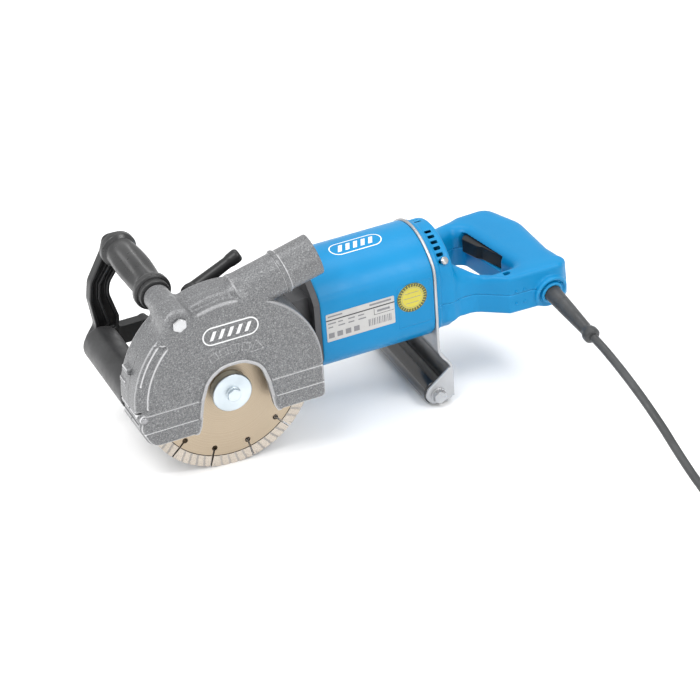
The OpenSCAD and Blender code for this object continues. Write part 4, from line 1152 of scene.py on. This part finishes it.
def blade(name, y, turn, node):
    """Disc with slots and a turbo rim, as sectors of a polar grid on each side."""
    rows = [11.1, 14, 19.9, 20.1, 30, 42, 54, 62, 65.9, 66.05, 66.4, 67, 68, 69, 70, 71, 71.6, 71.83, 72.5,
            75, 77.2, 77.4, 77.9, 78.05, 79, 80.5, 82, 84, 86, 88, 89.6, 90]
    steps = range(len(rows) - 1)
    points, faces, kinds = [], [], []
    for sector in range(SLOTS):
        start = math.radians(turn + 360 / SLOTS * sector)
        sheets = []
        for side in (-1, 1):
            grid = []
            for r in rows:
                edge = math.asin(slot_half(r) / r)
                grid.append(range(len(points), len(points) + COLUMNS + 1))
                for k in range(COLUMNS + 1):
                    angle = start + edge + (math.tau / SLOTS - 2 * edge) * (k / COLUMNS)
                    thick = half_thickness(r, k / COLUMNS, side)
                    points.append((r * math.cos(angle), y + side * thick, r * math.sin(angle)))
            sheets.append(grid)
            for j, k in itertools.product(steps, range(COLUMNS)):
                r = (rows[j] + rows[j + 1]) / 2
                groove = in_groove(r, (k + 0.5) / COLUMNS, side)
                quad = (grid[j][k], grid[j][k + 1], grid[j + 1][k + 1], grid[j + 1][k])
                faces.append(quad if side == 1 else quad[::-1])
                # material kinds: 0 core, 1 rim, 2 turbo groove coloured darker as painted shade, 3 slot edges
                # and the joint
                kinds.append(0 if r < JOINT_IN else 3 if r < RIM_IN else 2 if groove else 1)
        near, far = sheets
        for j in steps:
            if slot_half(rows[j]) + slot_half(rows[j + 1]) > 0:
                faces.append((near[j][0], far[j][0], far[j + 1][0], near[j + 1][0]))
                faces.append((near[j + 1][-1], far[j + 1][-1], far[j][-1], near[j][-1]))
                kinds += [3, 3]
        for k in range(COLUMNS):
            faces.append((near[-1][k], far[-1][k], far[-1][k + 1], near[-1][k + 1]))
            faces.append((near[0][k + 1], far[0][k + 1], far[0][k], near[0][k]))
            kinds += [1, 0]
    add_piece(name, mesh_from(name, points, faces, kinds), "spindle",
              [CORE, RIM, GROOVE_SHADE, SLOT_DARK], [node], smooth=False)


blade("outer_blade_disc", OUTER_Y, 12.6, "outer_blade")
blade("inner_blade_disc", INNER_Y, 5.0, "inner_blade")

flange_profile = bevelled([(0, 5.3), (0, 19.8), (8.0, 20.0), (8.2, 21), (10.4, 21), (11.4, 20.0),
                           (12.2, 12.4), (12.3, 8.0), (12.3, 5.3)], 0.7)
turned("flange_disc", (0, OUTER_Y - 1.2, 0), (0, -1, 0), flange_profile, "spindle", WHITE_ZINC,
       ["outer_flange"], 96)
turned("blade_bolt_shank", (0, OUTER_Y + 10, 0), (0, -1, 0), bevelled([(0, 4.5), (0.6, 4.95), (22.4, 4.95)]),
       "spindle", WHITE_ZINC, ["blade_bolt"], 32)
hex_bolt("blade_bolt_head", (0, OUTER_Y - 13.4, 0), (0, -1, 0), 13.0, 3.6, "spindle",
         WHITE_ZINC, 7.8)


# ---- labels ----
def strip(name, outlines, front_y, body, material, nodes=(), thick=0.06):
    """Flat print on a face that looks along -Y: outlines are in X and Z."""
    points, faces = [], []
    for shape in outlines:
        count = len(shape)
        first = len(points)
        points += [(px, level, pz) for level in (front_y, front_y + thick) for px, pz in shape]
        faces.append(tuple(first + k for k in range(count)))
        faces.append(tuple(first + count + k for k in reversed(range(count))))
        faces += [(first + k, first + count + k, first + count + (k + 1) % count, first + (k + 1) % count)
                  for k in range(count)]
    add_piece(name, mesh_from(name, points, faces), body, [material], nodes, smooth=False)


def bar(x0, x1, z0, z1):
    return [(x0, z0), (x1, z0), (x1, z1), (x0, z1)]


def ribbon(outer, inner, closed=False):
    """Quads between two lines with as many points."""
    if closed:
        outer, inner = outer + outer[:1], inner + inner[:1]
    return [[outer[k], outer[k + 1], inner[k + 1], inner[k]] for k in range(len(outer) - 1)]


def ring_of(middle, r0, r1, a0, a1, count):
    return ribbon(arc(middle, r1, a0, a1, count), arc(middle, r0, a0, a1, count))


def oval(half_l, half_w, inset):
    """Outline of an oval about the origin, drawn in by the inset."""
    flat, r = half_l - half_w, half_w - inset
    return arc((flat, 0), r, -90, 90, 16) + arc((-flat, 0), r, 90, 270, 16)


FACE = -HOUSING_FLAT
LABEL_L, LABEL_R, LABEL_LOW, LABEL_HIGH = 114.0, 189.4, 9.6, 41.6
FILM_T, BADGE_T, INK_LIFT = 0.3, 0.4, 0.04
label_outline = rounded([(LABEL_L, LABEL_LOW, 1.2), (LABEL_R, LABEL_LOW, 1.2), (LABEL_R, LABEL_HIGH, 1.2),
                         (LABEL_L, LABEL_HIGH, 1.2)])
strip("rating_label", [label_outline], FACE - FILM_T, "machine", WHITE_FILM, ["rating_plate"],
      FILM_T)
ink = [bar(LABEL_L, LABEL_R, 33.6, 35.0), bar(166.5, 167.0, 25.8, 32.8), bar(166.5, 188.5, 25.6, 26.1)]
strip("label_rule", ink, FACE - FILM_T - INK_LIFT, "machine", DARK_INK)


def blocks(x0, pitch, widths, count, z0, z1, offset=0):
    """Row of plain blocks whose widths repeat."""
    return [bar(x0 + pitch * k, x0 + pitch * k + widths[(k + offset) % len(widths)], z0, z1)
            for k in range(count)]


WORD_WIDTHS = (8.6, 5.2, 7.4, 6.6)
grey = [bar(116, 132, 37.6, 39.4), bar(162, 186, 37.4, 39.6)]
grey += blocks(116, 11, WORD_WIDTHS, 4, 29.6, 31.1) + blocks(116, 11, WORD_WIDTHS, 4, 25.2, 26.7, 1)
grey += blocks(116, 9.2, (6.2,), 4, 13.4, 19.4) + blocks(160, 1.9, (1.2, 0.6, 0.9), 14, 14.2, 22.4)
grey += [bar(170, 184, 28.2, 30.8)]
strip("label_blocks", grey, FACE - FILM_T - INK_LIFT, "machine", GREY_INK)

BADGE = (209.3, 33.0)
BADGE_R = 16.4
strip("badge_disc", [arc(BADGE, BADGE_R, 0, 360, 72)[:-1]], FACE - BADGE_T, "machine",
      YELLOW_FILM, ["round_badge"], BADGE_T)
marks = ring_of(BADGE, 15.7, 16.3, 0, 360, 72)
for k in range(30):
    marks += ring_of(BADGE, 12.6, 15.9, 12 * k, 12 * k + 9.4, 2)
strip("badge_ring", marks, FACE - BADGE_T - INK_LIFT, "machine", OLIVE_INK)
rules = [bar(BADGE[0] - half, BADGE[0] + half, BADGE[1] + level, BADGE[1] + level + 0.6)
         for half, level in ((8, 5.4), (9.5, -0.3), (7, -6.0))]
rules += ring_of(BADGE, 11.2, 11.6, 0, 360, 60)
strip("badge_rules", rules, FACE - BADGE_T - INK_LIFT, "machine", GREY_INK)

# bright faces of the raised oval and bars on the guard
bright = ribbon(oval(OVAL_HALF_L, OVAL_HALF_W, 0.35), oval(OVAL_HALF_L, OVAL_HALF_W, 1.65), True)
for k in range(-2, 3):
    bright.append([(k * OVAL_PITCH + dx, dz)
                   for dx, dz in ((-4.0, -4.8), (-0.4, -4.8), (4.0, 4.8), (0.4, 4.8))])
bright = [[(OVAL_MID[0] + px, OVAL_MID[1] + pz) for px, pz in shape] for shape in bright]
strip("guard_oval_faces", bright, COVER_Y - EMBOSS - 0.1, "guard", BARE_METAL, (), 0.3)


def top_oval():
    """White oval outline with slanted bars, wrapped on the round top of the housing."""
    reach = HOUSING_R + 0.12
    middle_x, middle_a, half_l, half_w, line = 171.0, 93.5, 28.6, 10.2, 1.1
    points = []

    def put(u, v):
        a = math.radians(middle_a) - v / reach
        points.append((middle_x + u, reach * math.cos(a), MOTOR_Z + reach * math.sin(a)))
        return len(points) - 1

    outer = [put(*place) for place in oval(half_l, half_w, 0)]
    inner = [put(*place) for place in oval(half_l, half_w, line)]
    faces = ribbon(outer, inner, True)
    for k, part in itertools.product(range(-2, 3), range(4)):
        v0, v1 = -5.2 + 2.6 * part, -5.2 + 2.6 * (part + 1)
        faces.append([put(k * 8.4 + side * 2.2 + v * 0.45, v)
                      for side, v in ((-1, v0), (1, v0), (1, v1), (-1, v1))])
    made = add_piece("housing_oval", mesh_from("housing_oval", points, faces), "machine",
                     [WHITE_INK])
    solid = made.modifiers.new("thickness", "SOLIDIFY")
    solid.thickness = 0.0001
    solid.offset = 1.0


top_oval()

# ---- floor, light ----
floor_mesh = bpy.data.meshes.new("floor")
floor_mesh.from_pydata([(-6, -5, 0), (6, -5, 0), (6, 9, 0), (-6, 9, 0)], [], [(0, 1, 2, 3)])
floor = bpy.data.objects.new("floor", floor_mesh)
bpy.context.scene.collection.objects.link(floor)
floor_shade = Shade("pale_floor", rough=0.9, spec=0.1)
floor_shade.color(floor_shade.ramp(floor_shade.noise(3.0),
                                   [(0.4, (0.90, 0.90, 0.90)), (0.6, (0.92, 0.92, 0.92))]))
floor_mesh.materials.append(floor_shade.mat)

world = bpy.data.worlds.new("studio")
world.use_nodes = True
world.node_tree.nodes["Background"].inputs["Color"].default_value = (1.0, 1.0, 1.0, 1)
world.node_tree.nodes["Background"].inputs["Strength"].default_value = 0.9
bpy.context.scene.world = world
bpy.context.scene.view_settings.view_transform = "Standard"


def soft_light(name, place, aim, size, power):
    lamp = bpy.data.lights.new(name, "AREA")
    lamp.shape = "RECTANGLE"
    lamp.size, lamp.size_y = size
    lamp.energy = power
    made = bpy.data.objects.new(name, lamp)
    bpy.context.scene.collection.objects.link(made)
    made.location = place
    made.rotation_euler = (Vector(aim) - Vector(place)).to_track_quat("-Z", "Y").to_euler()


soft_light("key", (-1.2, -0.6, 2.2), (0, 0, 0.1), (1.2, 1.0), 28)
soft_light("front", (0.9, -2.4, 1.1), (0, 0, 0.1), (1.6, 0.9), 14)
soft_light("top", (0.4, 0.7, 2.3), (0.05, 0, 0.1), (1.6, 0.7), 14)
soft_light("side", (-2.0, 0.1, 1.0), (-0.18, 0, 0.18), (0.45, 0.9), 13)
soft_light("edge", (0.75, -1.1, 1.75), (-0.02, 0, 0.12), (0.7, 0.35), 12)
